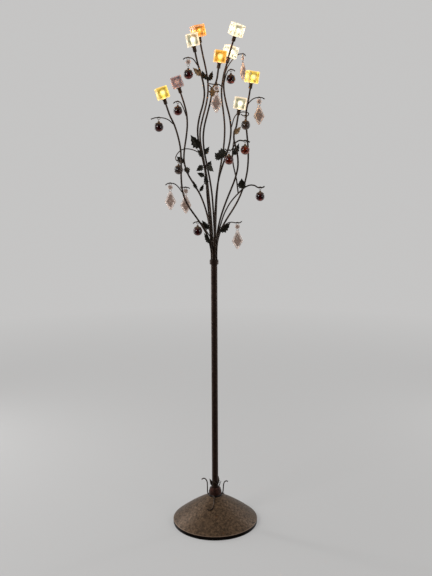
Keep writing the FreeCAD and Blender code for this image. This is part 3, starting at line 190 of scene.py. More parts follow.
# %% Patina group
def patina_group():
    """Cloudy patches blend two colours; fine noise roughens and pits the surface."""
    tree, start, end = new_group("patina", [
        ("Dark", COLOUR, (0.03, 0.02, 0.012, 1)),
        ("Rubbed", COLOUR, (0.2, 0.13, 0.08, 1)),
        ("Patch size", NUMBER, 40.0),
        ("Grain size", NUMBER, 500.0),
        ("Rubbed share", NUMBER, 0.4),
    ], [("Color", COLOUR), ("Roughness", NUMBER), ("Height", NUMBER)])
    place = own_axes(tree)
    patches = clouds(tree, place, start.outputs["Patch size"], 4.0, Roughness=0.62)
    grain = clouds(tree, place, start.outputs["Grain size"])
    both = node(tree, "ShaderNodeMath", {0: grain, 1: 0.35, 2: patches},
                operation="MULTIPLY_ADD").outputs[0]
    mask = remapped(tree, both, 0.52, 0.86)
    share = maths(tree, "MULTIPLY", mask, start.outputs["Rubbed share"])
    colour = mixed(tree, share, start.outputs["Dark"], start.outputs["Rubbed"])
    rough = remapped(tree, both, 0.45, 0.9, 0.52, 0.34)
    tree.links.new(colour, end.inputs["Color"])
    tree.links.new(rough, end.inputs["Roughness"])
    tree.links.new(grain, end.inputs["Height"])
    return tree


def band_group():
    """1 between two heights of the lamp and 0 outside, with a soft step at each."""
    tree, start, end = new_group("band", [
        ("Low", NUMBER, 0.0), ("High", NUMBER, 0.01), ("Soft", NUMBER, 0.001),
    ], [("Mask", NUMBER)])
    place = own_axes(tree)
    height = node(tree, "ShaderNodeSeparateXYZ", {0: place}).outputs["Z"]
    soft = start.outputs["Soft"]
    above = maths(tree, "DIVIDE", maths(tree, "SUBTRACT", height, start.outputs["Low"]), soft, True)
    below = maths(tree, "DIVIDE", maths(tree, "SUBTRACT", start.outputs["High"], height), soft, True)
    tree.links.new(maths(tree, "MULTIPLY", above, below), end.inputs["Mask"])
    return tree


PATINA = patina_group()
BAND = band_group()


def bronze(name, dark, rubbed, patch, grain, share, metallic=0.75, bump=0.25, depth=0.3,
           painted_light_bands=()):
    """A rubbed finish; a band (low, high, soft step, colour; mm above the floor) lays painted shade
    or highlight.
    """
    made, tree, shader = new_material(name)
    group = node(tree, "ShaderNodeGroup", node_tree=PATINA)
    for label, value in (("Dark", dark + (1,)), ("Rubbed", rubbed + (1,)),
                         ("Patch size", patch), ("Grain size", grain),
                         ("Rubbed share", share)):
        group.inputs[label].default_value = value
    colour = group.outputs["Color"]
    for low, high, soft, tone in painted_light_bands:
        band = node(tree, "ShaderNodeGroup", node_tree=BAND)
        for label, value in (("Low", low), ("High", high), ("Soft", soft)):
            band.inputs[label].default_value = value * MM
        colour = mixed(tree, band.outputs["Mask"], colour, tone)
    tree.links.new(colour, shader.inputs["Base Color"])
    tree.links.new(group.outputs["Roughness"], shader.inputs["Roughness"])
    bumped(tree, shader, group.outputs["Height"], bump, depth * MM)
    shader.inputs["Metallic"].default_value = metallic
    return made


# Near black, used only for painted shade: the base's lip and the groove under the hub.
PAINTED_SHADE_BLACK = (0.006, 0.004, 0.003)
branch_bronze = bronze("branch bronze", (0.014, 0.009, 0.006), (0.13, 0.08, 0.05), 110, 900, 0.5)
pole_bronze = bronze("pole bronze", (0.017, 0.008, 0.005), (0.100, 0.055, 0.036), 150, 900, 0.5,
                     0.7, 0.2, 0.2)
# Two copies of one leaf metal: the lighter one is painted lamplight for leaves beside a lit cube,
# the near-black one painted shade for the rest.
leaf_lamplit_bronze = bronze("leaf bronze", (0.055, 0.031, 0.013), (0.46, 0.28, 0.13), 120, 700, 0.8,
                     0.4)
leaf_in_shade_bronze = bronze("shaded leaf bronze", (0.007, 0.006, 0.003), (0.05, 0.042, 0.022), 120, 700,
                   0.5, 0.5)
cap_bronze = bronze("cap bronze", (0.05, 0.028, 0.016), (0.34, 0.22, 0.13), 200, 900, 0.7)
# Its band from 90 to 106.5 mm is painted shadow: the groove under the hub, where it sits on the
# base, is painted near black.
russet_bronze = bronze(
    "russet bronze", (0.012, 0.005, 0.003), (0.13, 0.05, 0.035), 110, 700, 0.7, 0.7,
    painted_light_bands=[(90, 106.5, 0.6, PAINTED_SHADE_BLACK)])
# Both bands are painted light: below 13 mm the side of the lip is painted near black as shade, and
# from 13 to 14.8 mm the rounded rim gets a painted highlight.
base_bronze = bronze(
    "hammered bronze", (0.034, 0.020, 0.010), (0.165, 0.100, 0.056), 130, 420, 0.8, 0.3, 0.6, 0.5,
    [(-1, 13, 0.5, PAINTED_SHADE_BLACK), (13, 14.8, 0.4, (0.20, 0.135, 0.095))])
# The cone is duller than the tubes, so that it mirrors less of the pale room.
base_bronze.node_tree.nodes["Principled BSDF"].inputs["Specular IOR Level"].default_value = 0.2
print("metal finishes:", [m.name for m in bpy.data.materials if "bronze" in m.name])

# %% [markdown]
# ## Plain inner parts
# Inside the base sit a felt pad, a cast weight, a transformer and a terminal block, with
# cables up the pole. They hardly show, but each still gets an honest finish.


# %% Inner finishes
def plain(name, colour, roughness, metallic, scale, bump):
    """One colour with a slight mottling and a grain."""
    made, tree, shader = new_material(name)
    mottle = clouds(tree, own_axes(tree), scale)
    darker = tuple(0.75 * tone for tone in colour)
    tree.links.new(mixed(tree, mottle, darker, colour), shader.inputs["Base Color"])
    bumped(tree, shader, mottle, bump, 0.2 * MM)
    constants(shader, {"Roughness": roughness, "Metallic": metallic})
    return made


felt = plain("black felt", (0.03, 0.027, 0.025), 0.95, 0, 900, 0.8)
cast_iron = plain("cast iron", (0.07, 0.07, 0.07), 0.7, 0.6, 250, 0.5)
black_plastic = plain("black plastic", (0.02, 0.02, 0.02), 0.45, 0, 800, 0.1)
zinc = plain("zinc plate", (0.5, 0.5, 0.48), 0.32, 1, 200, 0.05)
jacket = plain("cable jacket", (0.025, 0.022, 0.02), 0.5, 0, 600, 0.1)
ceramic = plain("steatite", (0.7, 0.66, 0.58), 0.55, 0, 400, 0.1)

FINISHES = {
    "base_pad": felt, "base_weight": cast_iron, "cable_gland": black_plastic,
    "transformer": black_plastic, "terminal_block": black_plastic, "stem_nipple": zinc,
    "stem_nuts": zinc, "foot_ferrule": russet_bronze, "root_tendrils": branch_bronze,
    "pole": pole_bronze, "pole_collar": pole_bronze, "crown_block": pole_bronze,
    "twigs": branch_bronze, "wiring": jacket,
}
for name, item in frame["nodes"].items():
    finish = FINISHES.get(name)
    if name.startswith(("branch_", "lamp_holder_")):
        finish = branch_bronze
    if finish:
        item.data.materials.clear()
        item.data.materials.append(finish)
print("nodes with a finish:", sum(1 for item in frame["nodes"].values() if item.data.materials))

# %% [markdown]
# ## Surfaces from grids
# Most pieces here are a surface with two parameters: how far along a profile, and how far
# round. The points are worked out as one array, and the faces follow from their row and
# column numbers. Points that fall together are welded, which closes seams and poles, and
# the sign of the enclosed volume says whether the faces point outwards.


# %% Mesh helpers
def grid_faces(rows, columns, wrap):
    """Quads of a grid: row i joins row i + 1; wrap joins the last column to the first."""
    i, j = np.meshgrid(
        np.arange(rows - 1), np.arange(columns if wrap else columns - 1), indexing="ij")
    k = (j + 1) % columns
    return np.stack(
        [i * columns + j, i * columns + k, (i + 1) * columns + k, (i + 1) * columns + j],
        axis=-1).reshape(-1, 4)


def welded(parts):
    """Joins grids of points and their quads, and makes points in one place a single point."""
    points = np.concatenate([p.reshape(-1, 3) for p, _ in parts])
    counts = [p.reshape(-1, 3).shape[0] for p, _ in parts]
    starts = np.concatenate([[0], np.cumsum(counts)[:-1]])
    quads = np.concatenate([f + s for (_, f), s in zip(parts, starts)])
    _, first, same = np.unique(
        np.round(points / 1e-7).astype(np.int64), axis=0, return_index=True,
        return_inverse=True)
    return points[first], same.reshape(-1)[quads]


def face_list(quads):
    """Quads as lists; a corner that repeats its neighbour is dropped."""
    kept = []
    for quad in quads.tolist():
        face = [c for n, c in enumerate(quad) if c != quad[n - 1]]
        if len(face) > 2 and len(set(face)) == len(face):
            kept.append(face)
    return kept


def enclosed(points, faces):
    """Volume inside the faces: the sum of the fans' signed tetrahedra."""
    total = 0.0
    for face in faces:
        a = points[face[0]]
        for b, c in zip(face[1:-1], face[2:]):
            total += float(np.dot(a, np.cross(points[b], points[c]))) / 6
    return total


def piece(name, parts, finish, body, smooth=True):
    """One mesh object from grids, with its finish, that rides on a body."""
    points, quads = welded(parts)
    faces = face_list(quads)
    if enclosed(points, faces) < 0:
        faces = [face[::-1] for face in faces]
    mesh = bpy.data.meshes.new(name)
    mesh.from_pydata(points.tolist(), [], faces)
    mesh.polygons.foreach_set("use_smooth", [smooth] * len(faces))
    mesh.materials.append(finish)
    mesh.update()
    made = placed(name, mesh)
    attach(made, body)
    return made


def around(count):
    """Even angles of one full turn, without its end."""
    return np.linspace(0, 2 * math.pi, count, endpoint=False)


def turned(radii, heights, columns):
    """Profile points (r, z) carried round Z: x = r cos a, y = r sin a."""
    angle = around(columns)
    radii = np.asarray(radii, float)[:, None]
    heights = np.asarray(heights, float)[:, None]
    grid = np.stack(np.broadcast_arrays(
        radii * np.cos(angle), radii * np.sin(angle), heights), axis=-1)
    return grid, grid_faces(len(radii), columns, True)


# %% [markdown]
# ## The hammered base
# The base is spun sheet steel that has been hammered all over, so that light breaks up on it.
# Its upper side is worked out as a height over radius and angle: a bowed cone, a rounded lip,
# and shallow dents whose depth comes from crossed waves a few millimetres apart. Real relief
# catches light at the edge of the shape as well, which a painted one doesn't.


# %% Base shell
BASE_RADIUS = 150 * MM
PAD = 2 * MM
LIP = 12 * MM
CONE = 86 * MM
BOW = 730 * MM
NECK_RADIUS = 24 * MM
SHEET = 2.5 * MM
INNER_HOLE = 5.3 * MM
DENT = 0.5 * MM
COLUMNS = 420
LIP_ROUND = 1.6 * MM
UNDERSIDE = 1.2 * SHEET
DENT_FADE = 6 * MM
# Waves that make the dents: turn in radians, step in millimetres, shift.
DENT_WAVES = ((0.3, 7.2, 0.4), (1.45, 6.3, 2.1), (2.5, 8.1, 4.4))


def bowed(radius, foot, top):
    """Height of a circle arc from the foot (r, z) to the top (r, z), bowed outwards."""
    (r0, z0), (r1, z1) = foot, top
    chord = np.array([r1 - r0, z1 - z0])
    half = np.hypot(*chord) / 2
    inward = np.array([-chord[1], chord[0]]) / (2 * half)
    middle = np.array([r0 + r1, z0 + z1]) / 2 + inward * math.sqrt(BOW**2 - half**2)
    return middle[1] + np.sqrt(BOW**2 - (radius - middle[0]) ** 2)


def hammered(angle, radius):
    """Dents: a product of waves in turned and stretched directions, between 0 and 1."""
    x = radius * np.cos(angle)
    y = radius * np.sin(angle)
    rows = 0.0
    for turn, step, shift in DENT_WAVES:
        across = x * math.cos(turn) + y * math.sin(turn)
        warp = 1.5 * np.sin(x * 230 + shift) + 1.5 * np.sin(y * 210 - shift)
        rows = rows + np.sin(across / (step * MM) * 2 * math.pi + warp + shift)
    return 0.5 + rows / (2 * len(DENT_WAVES))


def base_grid():
    """Up the lip, over its round edge, up the cone, across the neck and back down inside."""
    lip_top = PAD + LIP
    top = lip_top + CONE
    turn = np.linspace(0, math.radians(62), 7)
    lip_r = BASE_RADIUS - LIP_ROUND + LIP_ROUND * np.cos(turn)
    lip_z = lip_top - LIP_ROUND * 0.6 + LIP_ROUND * np.sin(turn) * 0.8
    cone_r = np.linspace(BASE_RADIUS - 2 * LIP_ROUND, NECK_RADIUS, 100)
    cone_z = bowed(cone_r, (BASE_RADIUS, lip_top), (NECK_RADIUS, top))
    inner_r = np.linspace(NECK_RADIUS, BASE_RADIUS - SHEET, 12)
    inner_z = bowed(inner_r, (BASE_RADIUS, lip_top), (NECK_RADIUS, top)) - UNDERSIDE
    radii = np.concatenate([
        [BASE_RADIUS - SHEET, BASE_RADIUS - SHEET + 0.5 * MM, BASE_RADIUS - 0.3 * MM],
        [BASE_RADIUS, BASE_RADIUS], lip_r, cone_r, [INNER_HOLE, INNER_HOLE], inner_r])
    heights = np.concatenate([
        [PAD, PAD, PAD], [PAD + 0.4 * MM, lip_top - 2 * LIP_ROUND], lip_z, cone_z,
        [top, top - UNDERSIDE], inner_z])
    radii = np.append(radii, radii[0])
    heights = np.append(heights, heights[0])
    grid, faces = turned(radii, heights, COLUMNS)
    angle = around(COLUMNS)
    first = 5 + len(lip_r)
    fade = np.clip((cone_r - NECK_RADIUS) / DENT_FADE, 0, 1)
    fade = fade * np.clip((BASE_RADIUS - 3 * LIP_ROUND - cone_r) / DENT_FADE, 0, 1)
    dents = hammered(angle[None, :], cone_r[:, None]) * fade[:, None]
    grid[first:first + len(cone_r), :, 2] -= DENT * dents
    return grid, faces


base_shell = piece("hammered_base", [base_grid()], base_bronze, "lamp")
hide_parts("base_shell")
print("base points:", len(base_shell.data.vertices))

# %% [markdown]
# ## Lit glass
# A lit cube is a block of pressed glass over a small bulb. Light runs inside the block and
# leaves it where the surface turns, so the edges shine, the faces show darker patches
# between, and the middle of each face is white with the bulb. A path tracer is slow to find
# that light, so it is painted in instead, as the glass's own glow: each cube carries its own
# coordinates as an attribute, and one group turns them into three masks, for edge, core and
# patch. Shadow rays pass straight through, so that the bulb lights what is near it.


# %% Cube light group
def cube_light_group():
    """Edge: the second largest coordinate is near 1. Core: near the middle of a face."""
    tree, start, end = new_group("cube light", [
        ("Place", VECTOR, (0, 0, 0)), ("Patch size", NUMBER, 110.0),
    ], [("Edge", NUMBER), ("Core", NUMBER), ("Patch", NUMBER), ("Height", NUMBER)])
    place = start.outputs["Place"]
    size = node(tree, "ShaderNodeVectorMath", {0: place}, operation="ABSOLUTE").outputs[0]
    parts = node(tree, "ShaderNodeSeparateXYZ", {0: size}).outputs
    larger = maths(tree, "MAXIMUM", parts["X"], parts["Y"])
    smaller = maths(tree, "MINIMUM", parts["X"], parts["Y"])
    largest = maths(tree, "MAXIMUM", larger, parts["Z"])
    second = maths(tree, "MAXIMUM", smaller, maths(tree, "MINIMUM", larger, parts["Z"]))
    length = node(tree, "ShaderNodeVectorMath", {0: place}, operation="LENGTH").outputs["Value"]
    squares = maths(tree, "SUBTRACT", maths(tree, "MULTIPLY", length, length),
                    maths(tree, "MULTIPLY", largest, largest))
    in_face = maths(tree, "SQRT", maths(tree, "MAXIMUM", squares, 0.0))
    patch = clouds(tree, own_axes(tree), start.outputs["Patch size"], Distortion=0.6)
    wobble = maths(tree, "MULTIPLY", maths(tree, "SUBTRACT", patch, 0.5), 0.5)
    tree.links.new(remapped(tree, second, 0.76, 0.93), end.inputs["Edge"])
    tree.links.new(remapped(tree, maths(tree, "ADD", in_face, wobble), 0.18, 0.55, 1.0, 0.0),
                   end.inputs["Core"])
    tree.links.new(remapped(tree, patch, 0.42, 0.60), end.inputs["Patch"])
    tree.links.new(patch, end.inputs["Height"])
    return tree


CUBE_LIGHT = cube_light_group()


def open_to_light(tree, shader, tint):
    """Lets shadow rays pass, tinted; all other rays meet the shader."""
    through = node(tree, "ShaderNodeBsdfTransparent", {"Color": tint + (1,)})
    path = node(tree, "ShaderNodeLightPath")
    choice = node(tree, "ShaderNodeMixShader", {0: path.outputs["Is Shadow Ray"]})
    tree.links.new(shader.outputs[0], choice.inputs[1])
    tree.links.new(through.outputs[0], choice.inputs[2])
    tree.links.new(choice.outputs[0], tree.nodes["Material Output"].inputs["Surface"])


def cube_glass(name, tint, shade, glow, core, edge, shines=0.8, clearness=1.0):
    """Block glass: shade and glow are the patches, core the middle, edge the rounded edges; all
    painted light, shone as emission, or laid in the base colour where the bulb is off.
    """
    made, tree, shader = new_material(name)
    own = node(tree, "ShaderNodeAttribute", attribute_name="cube_place").outputs["Vector"]
    masks = node(tree, "ShaderNodeGroup", {"Place": own, "Patch size": 120.0},
                 node_tree=CUBE_LIGHT).outputs
    colour = mixed(tree, masks["Patch"], shade, glow)
    colour = mixed(tree, masks["Core"], colour, core)
    colour = mixed(tree, masks["Edge"], colour, edge)
    if shines:
        tree.links.new(colour, shader.inputs["Emission Color"])
        constants(shader, {"Emission Strength": shines, "Base Color": tint + (1,)})
    else:
        tree.links.new(colour, shader.inputs["Base Color"])
    constants(shader, {"Transmission Weight": clearness, "Roughness": 0.08, "IOR": 1.5})
    bumped(tree, shader, masks["Height"], 0.6, 1.5 * MM)
    open_to_light(tree, shader, tint)
    return made


clear_glass = cube_glass(
    "clear cube glass", (0.30, 0.29, 0.22), (0.045, 0.052, 0.026), (0.38, 0.34, 0.22),
    (1.0, 0.96, 0.78), (0.90, 0.68, 0.48))
golden_glass = cube_glass(
    "golden cube glass", (0.32, 0.22, 0.04), (0.075, 0.058, 0.004), (0.50, 0.36, 0.07),
    (1.0, 0.90, 0.50), (0.92, 0.64, 0.24))
amber_glass = cube_glass(
    "amber cube glass", (0.32, 0.17, 0.03), (0.16, 0.065, 0.003), (0.55, 0.28, 0.03),
    (1.0, 0.88, 0.45), (0.92, 0.52, 0.17))
orange_glass = cube_glass(
    "deep amber cube glass", (0.26, 0.10, 0.02), (0.09, 0.026, 0.001), (0.38, 0.14, 0.01),
    (0.85, 0.50, 0.08), (0.72, 0.34, 0.13))
# The unlit cube gets the same masks in its base colour: painted reflections on the edges and
# patches, and a painted highlight in the middle of each face.
unlit_glass = cube_glass(
    "unlit cube glass", (0.8, 0.72, 0.72), (0.15, 0.12, 0.14), (0.36, 0.29, 0.31),
    (0.62, 0.50, 0.48), (0.72, 0.62, 0.64), 0, 0.4)
print("cube glasses:", [m.name for m in bpy.data.materials if "cube" in m.name])

# %% [markdown]
# ## Crystal and garnet
# The drops and beads are cut crystal: slanting facets round a flat table. The facets get a
# pinkish white colour and the table a quieter one, a painted reflection, so each face of the
# mesh carries a number that says how much it slants. The balls are so dark that they look
# black in the middle; light that enters at the top gathers in a crescent near the bottom,
# which is painted from the ball's own coordinates.


# %% Crystal and garnet
def crystal(name, table, facet_reflection):
    """Crystal: a quiet table, and slanted facets that shine with a painted reflection."""
    made, tree, shader = new_material(name)
    slant = node(tree, "ShaderNodeAttribute", attribute_name="slant").outputs["Fac"]
    cloud = clouds(tree, own_axes(tree), 130.0)
    # The slanted facets take the paler colour: a painted reflection.
    deeper = tuple(0.68 * tone for tone in facet_reflection)
    border = mixed(tree, remapped(tree, cloud, 0.38, 0.56), deeper, facet_reflection)
    spots = mixed(tree, remapped(tree, cloud, 0.56, 0.72), table, deeper)
    tree.links.new(mixed(tree, slant, spots, border), shader.inputs["Base Color"])
    constants(shader, {"Transmission Weight": 0.45, "Roughness": 0.06, "IOR": 1.55})
    open_to_light(tree, shader, (0.8, 0.75, 0.7))
    return made


def garnet(name, deep, ember, crescent):
    """Dark glass: embers in the deep, and a crescent of gathered light near the bottom."""
    made, tree, shader = new_material(name)
    own = node(tree, "ShaderNodeAttribute", attribute_name="ball_place").outputs["Vector"]
    height = node(tree, "ShaderNodeSeparateXYZ", {0: own}).outputs["Z"]
    cloud = clouds(tree, own_axes(tree), 75.0, 1.0)
    inner = mixed(tree, remapped(tree, cloud, 0.45, 0.65), deep, ember)
    rising = remapped(tree, height, -0.92, -0.72)
    falling = remapped(tree, height, -0.60, -0.38, 1.0, 0.0)
    gathered = maths(tree, "MULTIPLY", maths(tree, "MULTIPLY", rising, falling),
                     remapped(tree, cloud, 0.35, 0.6, 0.3, 1.0))
    tree.links.new(mixed(tree, gathered, inner, crescent), shader.inputs["Base Color"])
    constants(shader, {"Transmission Weight": 0.5, "Roughness": 0.03, "IOR": 1.55})
    open_to_light(tree, shader, ember)
    return made


drop_glass = crystal("drop crystal", (0.33, 0.24, 0.20), (0.97, 0.86, 0.80))
deep_garnet = garnet("deep garnet", (0.010, 0.001, 0.001), (0.07, 0.005, 0.003),
                     (0.42, 0.10, 0.085))
# Balls 5 and 6 have lamplight behind them, so their garnet is painted brighter and redder: painted
# backlight.
backlit_garnet = garnet("backlit garnet", (0.035, 0.002, 0.001), (0.28, 0.03, 0.005),
                       (0.62, 0.22, 0.15))
smoke_glass = garnet("smoke glass", (0.016, 0.011, 0.010), (0.07, 0.045, 0.036),
                     (0.28, 0.19, 0.15))
BALL_GLASS = {"ball_pendant_5": backlit_garnet, "ball_pendant_6": backlit_garnet,
              "ball_pendant_9": smoke_glass, "ball_pendant_10": smoke_glass}
print("balls with a glass of their own:", sorted(BALL_GLASS))

# %% [markdown]
# ## Where the lamps sit
# The frame already knows each cube's place: the middle of its box. Its lean is a design
# value, given as degrees from upright, the compass way of the lean, and the cube's own turn.

# %% Lamps
# cube number: glass, lean, compass way, turn
LAMPS = {
    1: (orange_glass, 11, 180, 26), 2: (clear_glass, 12, 180, 6), 3: (clear_glass, 21, -34, 28),
    4: (amber_glass, 8, 0, 5), 5: (clear_glass, 18, 20, 32), 6: (golden_glass, 9, 0, 16),
    7: (clear_glass, 9, 0, 3), 8: (golden_glass, 18, 180, 12), 9: (unlit_glass, 18, 180, 0),
}


def turn_about(axis, degrees):
    """A 3 by 3 turning matrix about one of the axes."""
    return np.array(Matrix.Rotation(math.radians(degrees), 3, axis))


def lamp_frame(number):
    """Middle of a cube and the directions of its own axes, as rows of a matrix."""
    _, lean, compass, turn = LAMPS[number]
    low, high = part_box("glass_cube_%d" % number)
    middle = (np.array(low) + np.array(high)) / 2
    turning = turn_about("Z", compass) @ turn_about("Y", lean) @ turn_about("Z", turn - compass)
    return middle, turning


# %% [markdown]
# ### The cube's surface
# Start from a plain cube's skin: four sides as a ring, a top as a grid, and a bottom as a
# ring between the square edge and the round bore. Each point is then pulled to a rounded
# box: it is held inside a smaller box and pushed out again by the edge radius. Last, slow
# waves sink the flat faces a little, each cube with waves of its own.

# %% Cube surface
CUBE = 38 * MM
EDGE = 2.5 * MM
BORE = 13 * MM
BORE_DEPTH = 26 * MM
STEPS = 24


def rounded(points):
    """Nearest point on a box with round edges: clamp to the inner box, add the radius."""
    inner = CUBE / 2 - EDGE
    held = np.clip(points, -inner, inner)
    away = points - held
    length = np.linalg.norm(away, axis=-1, keepdims=True)
    return held + away / np.maximum(length, 1e-12) * EDGE


def rippled(points, seed):
    """Flat parts sink by slow waves; edges and the bore stay."""
    half = CUBE / 2
    near = np.abs(points) / half
    order = np.sort(near, axis=-1)
    flat = np.clip((0.88 - order[..., 1]) / 0.25, 0, 1)
    wave = (
        np.sin(points[..., 0] * 330 + seed) * np.sin(points[..., 1] * 290 + 2 * seed)
        + np.sin(points[..., 2] * 310 + 3 * seed) * np.sin(points[..., 0] * 250 - seed))
    sink = 0.9 * MM * (0.5 + wave / 4) * flat
    face = (near > 0.995) * np.sign(points)
    return points - face * sink[..., None]


def cube_parts(seed):
    """The rounded, rippled skin and the wall and end of the bore."""
    half = CUBE / 2
    spread = half * np.sin(np.linspace(-math.pi / 2, math.pi / 2, STEPS + 1))
    u, v = np.meshgrid(spread, spread, indexing="ij")
    top = np.stack([u, v, np.full_like(u, half)], axis=-1)
    side = spread[:-1]
    low = np.full_like(side, -half)
    ring = np.concatenate([
        np.stack([side, low], -1), np.stack([-low, side], -1),
        np.stack([-side, -low], -1), np.stack([low, -side], -1)])
    walls = np.concatenate([
        np.broadcast_to(ring[None], (STEPS + 1, len(ring), 2)),
        np.broadcast_to(spread[:, None, None], (STEPS + 1, len(ring), 1))], axis=-1)
    angle = np.arctan2(ring[:, 1], ring[:, 0])
    circle = BORE / 2 * np.stack([np.cos(angle), np.sin(angle)], -1)
    share = np.sin(np.linspace(0, math.pi / 2, 10))[:, None, None]
    floor = circle[None] * (1 - share) + ring[None] * share
    floor = np.concatenate([floor, np.full(floor.shape[:2] + (1,), -half)], axis=-1)
    skin = [
        (rippled(rounded(top), seed), grid_faces(STEPS + 1, STEPS + 1, False)),
        (rippled(rounded(walls), seed), grid_faces(STEPS + 1, len(ring), True)[:, ::-1]),
        (rounded(floor), grid_faces(10, len(ring), True)),
    ]
    rise = np.concatenate([np.linspace(0, BORE_DEPTH - 2 * MM, 8), [BORE_DEPTH - 0.6 * MM],
                           [BORE_DEPTH, BORE_DEPTH]])
    width = np.concatenate([np.ones(8), [0.9], [0.7, 0.0]])
    bore = np.concatenate([
        circle[None] * width[:, None, None],
        np.broadcast_to((rise - half)[:, None, None], (len(rise), len(ring), 1))], axis=-1)
    skin.append((bore, grid_faces(len(rise), len(ring), True)[:, ::-1]))
    return skin


def facing(parts):
    """Turns each grid's quads so that neighbours agree: away from the middle outside."""
    ready = []
    for number, (points, faces) in enumerate(parts):
        flat = points.reshape(-1, 3)
        a, b, c = flat[faces[:, 0]], flat[faces[:, 1]], flat[faces[:, 2]]
        way = np.cross(b - a, c - b)
        out = a + 0 if number < 3 else -a * np.array([1, 1, 0])
        agree = float(np.sum(way * out))
        ready.append((points, faces if agree > 0 else faces[:, ::-1]))
    return ready


def moved(parts, middle, turning):
    """Local points turned and put in place: p' = R p + middle."""
    return [(points @ turning.T + middle, faces) for points, faces in parts]


def read(rows, field):
    """A field of three numbers, taken from every row at once."""
    values = np.empty(len(rows) * 3)
    rows.foreach_get(field, values)
    return values.reshape(-1, 3)


def own_place(made, label, middle, turning, half):
    """Keeps each point's place in the piece's own axes: R^T (p - middle) / half."""
    mesh = made.data
    local = (read(mesh.vertices, "co") - middle) @ turning / half
    kept = mesh.attributes.new(label, "FLOAT_VECTOR", "POINT")
    kept.data.foreach_set("vector", local.ravel())


for number, (finish, *_) in LAMPS.items():
    middle, turning = lamp_frame(number)
    skin = facing(cube_parts(1.7 * number))
    cube = piece("ice_cube_%d" % number, moved(skin, middle, turning), finish,
                 "glass_cube_%d" % number)
    own_place(cube, "cube_place", middle, turning, CUBE / 2)
    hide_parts("glass_cube_%d" % number)
print("cube points:", len(cube.data.vertices))

# %% [markdown]
# ## Bulbs
# Each lamp is a low-voltage capsule: a short glass finger on two pins. Eight shine and one
# is off. The light that reaches the room comes from a small warm lamp inside each capsule.


# %% Bulbs
def bulb_finish(name, colour, strength):
    """A shining capsule whose own light the shadows ignore."""
    made, tree, shader = new_material(name)
    constants(shader, {"Base Color": (0.9, 0.85, 0.75, 1), "Roughness": 0.3,
                       "Emission Color": colour + (1,), "Emission Strength": strength})
    open_to_light(tree, shader, (1.0, 1.0, 1.0))
    return made


lit_bulb = bulb_finish("lit bulb", (1.0, 0.86, 0.62), 3.0)
dark_bulb = bulb_finish("unlit bulb", (1.0, 0.9, 0.8), 0.0)
BULB_RADIUS = 4.5 * MM
BULB_FOOT = -20.3 * MM
BULB_TIP = 3.7 * MM
BULB_POWER = 0.9
BULB_WARMTH = (1.0, 0.62, 0.28)
LIGHT_RADIUS = 6 * MM


def bulb_parts():
    """A capsule: a flat foot, a straight wall and a round end."""
    turn = np.linspace(0, math.pi / 2, 8)
    radii = np.concatenate([[0, BULB_RADIUS], BULB_RADIUS * np.cos(turn)])
    heights = np.concatenate([
        [BULB_FOOT, BULB_FOOT], BULB_TIP - BULB_RADIUS + BULB_RADIUS * np.sin(turn)])
    return [turned(radii, heights, 24)]


for number, (finish, *_) in LAMPS.items():
    middle, turning = lamp_frame(number)
    glow = dark_bulb if finish is unlit_glass else lit_bulb
    bulb = piece("bulb_%d" % number, moved(bulb_parts(), middle, turning), glow, "lamp")
    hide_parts("bulbs")
    if finish is not unlit_glass:
        light = bpy.data.lights.new("bulb_light_%d" % number, "POINT")
        light.energy = BULB_POWER
        light.color = BULB_WARMTH
        light.shadow_soft_size = LIGHT_RADIUS
        placed(light.name, light).location = middle
print("bulbs:", len(LAMPS))

# %% [markdown]
# ## Leaves
# The real leaves are cut from sheet, toothed, pressed with a rib and side veins, and bent by
# hand. The frame holds each one as a flat folded blade. Its foot, tip, width and face are
# measured from that blade, and a curved sheet with the same outline takes its place. All 24
# blades share one node, so its triangles are first sorted into separate solids: each point
# takes the lowest number among the points that it shares a triangle with, until nothing
# changes.


# %% Leaf places
def solids_of(mesh):
    """The merged points of a mesh, and the triangles of each separate solid."""
    points = read(mesh.vertices, "co")
    corners = np.empty(len(mesh.loops), dtype=np.int32)
    mesh.loops.foreach_get("vertex_index", corners)
    _, first, same = np.unique(
        np.round(points / (0.001 * MM)).astype(np.int64), axis=0, return_index=True,
        return_inverse=True)
    triangles = same.reshape(-1)[corners.reshape(-1, 3)]
    label = np.arange(len(first))
    changed = True
    while changed:
        lower = label.copy()
        np.minimum.at(lower, triangles.ravel(), np.repeat(label[triangles].min(axis=1), 3))
        changed = not np.array_equal(lower, label)
        label = lower
    owner = label[triangles[:, 0]]
    return points[first], [triangles[owner == number] for number in np.unique(owner)]


def leaf_place(points, triangles):
    """Foot, length, half width and the ways along, across and out of one blade's face."""
    corners = points[triangles]
    area = np.linalg.norm(np.cross(corners[:, 1] - corners[:, 0], corners[:, 2] - corners[:, 0]),
                          axis=1)[:, None]
    centres = corners.mean(axis=1)
    middle = (centres * area).sum(axis=0) / area.sum()
    away = centres - middle
    _, ways = np.linalg.eigh((away * area).T @ away)
    along, face = ways[:, 2], ways[:, 0]
    own = points[np.unique(triangles)]
    reach = (own - middle) @ along
    share = (reach - reach.min()) / np.ptp(reach)
    wide = np.abs((own - middle) @ np.cross(along, face))
    # The broadest teeth stand a third of the way up, so the blade's foot is on that side.
    early = wide[np.abs(share - 0.36) < 0.05].max(initial=0)
    late = wide[np.abs(share - 0.64) < 0.05].max(initial=0)
    if late > early:
        share = 1 - share
    foot = own[share < 0.03].mean(axis=0)
    tip = own[share > 0.995].mean(axis=0)
    length = np.linalg.norm(tip - foot)
    along = (tip - foot) / length
    face = face - along * (face @ along)
    face /= np.linalg.norm(face)
    # Both halves are folded towards the face, so the far edges lie on its side.
    if np.sum(((own - foot) @ face) * wide) < 0:
        face = -face
    return foot, length, wide.max(), along, np.cross(along, face), face


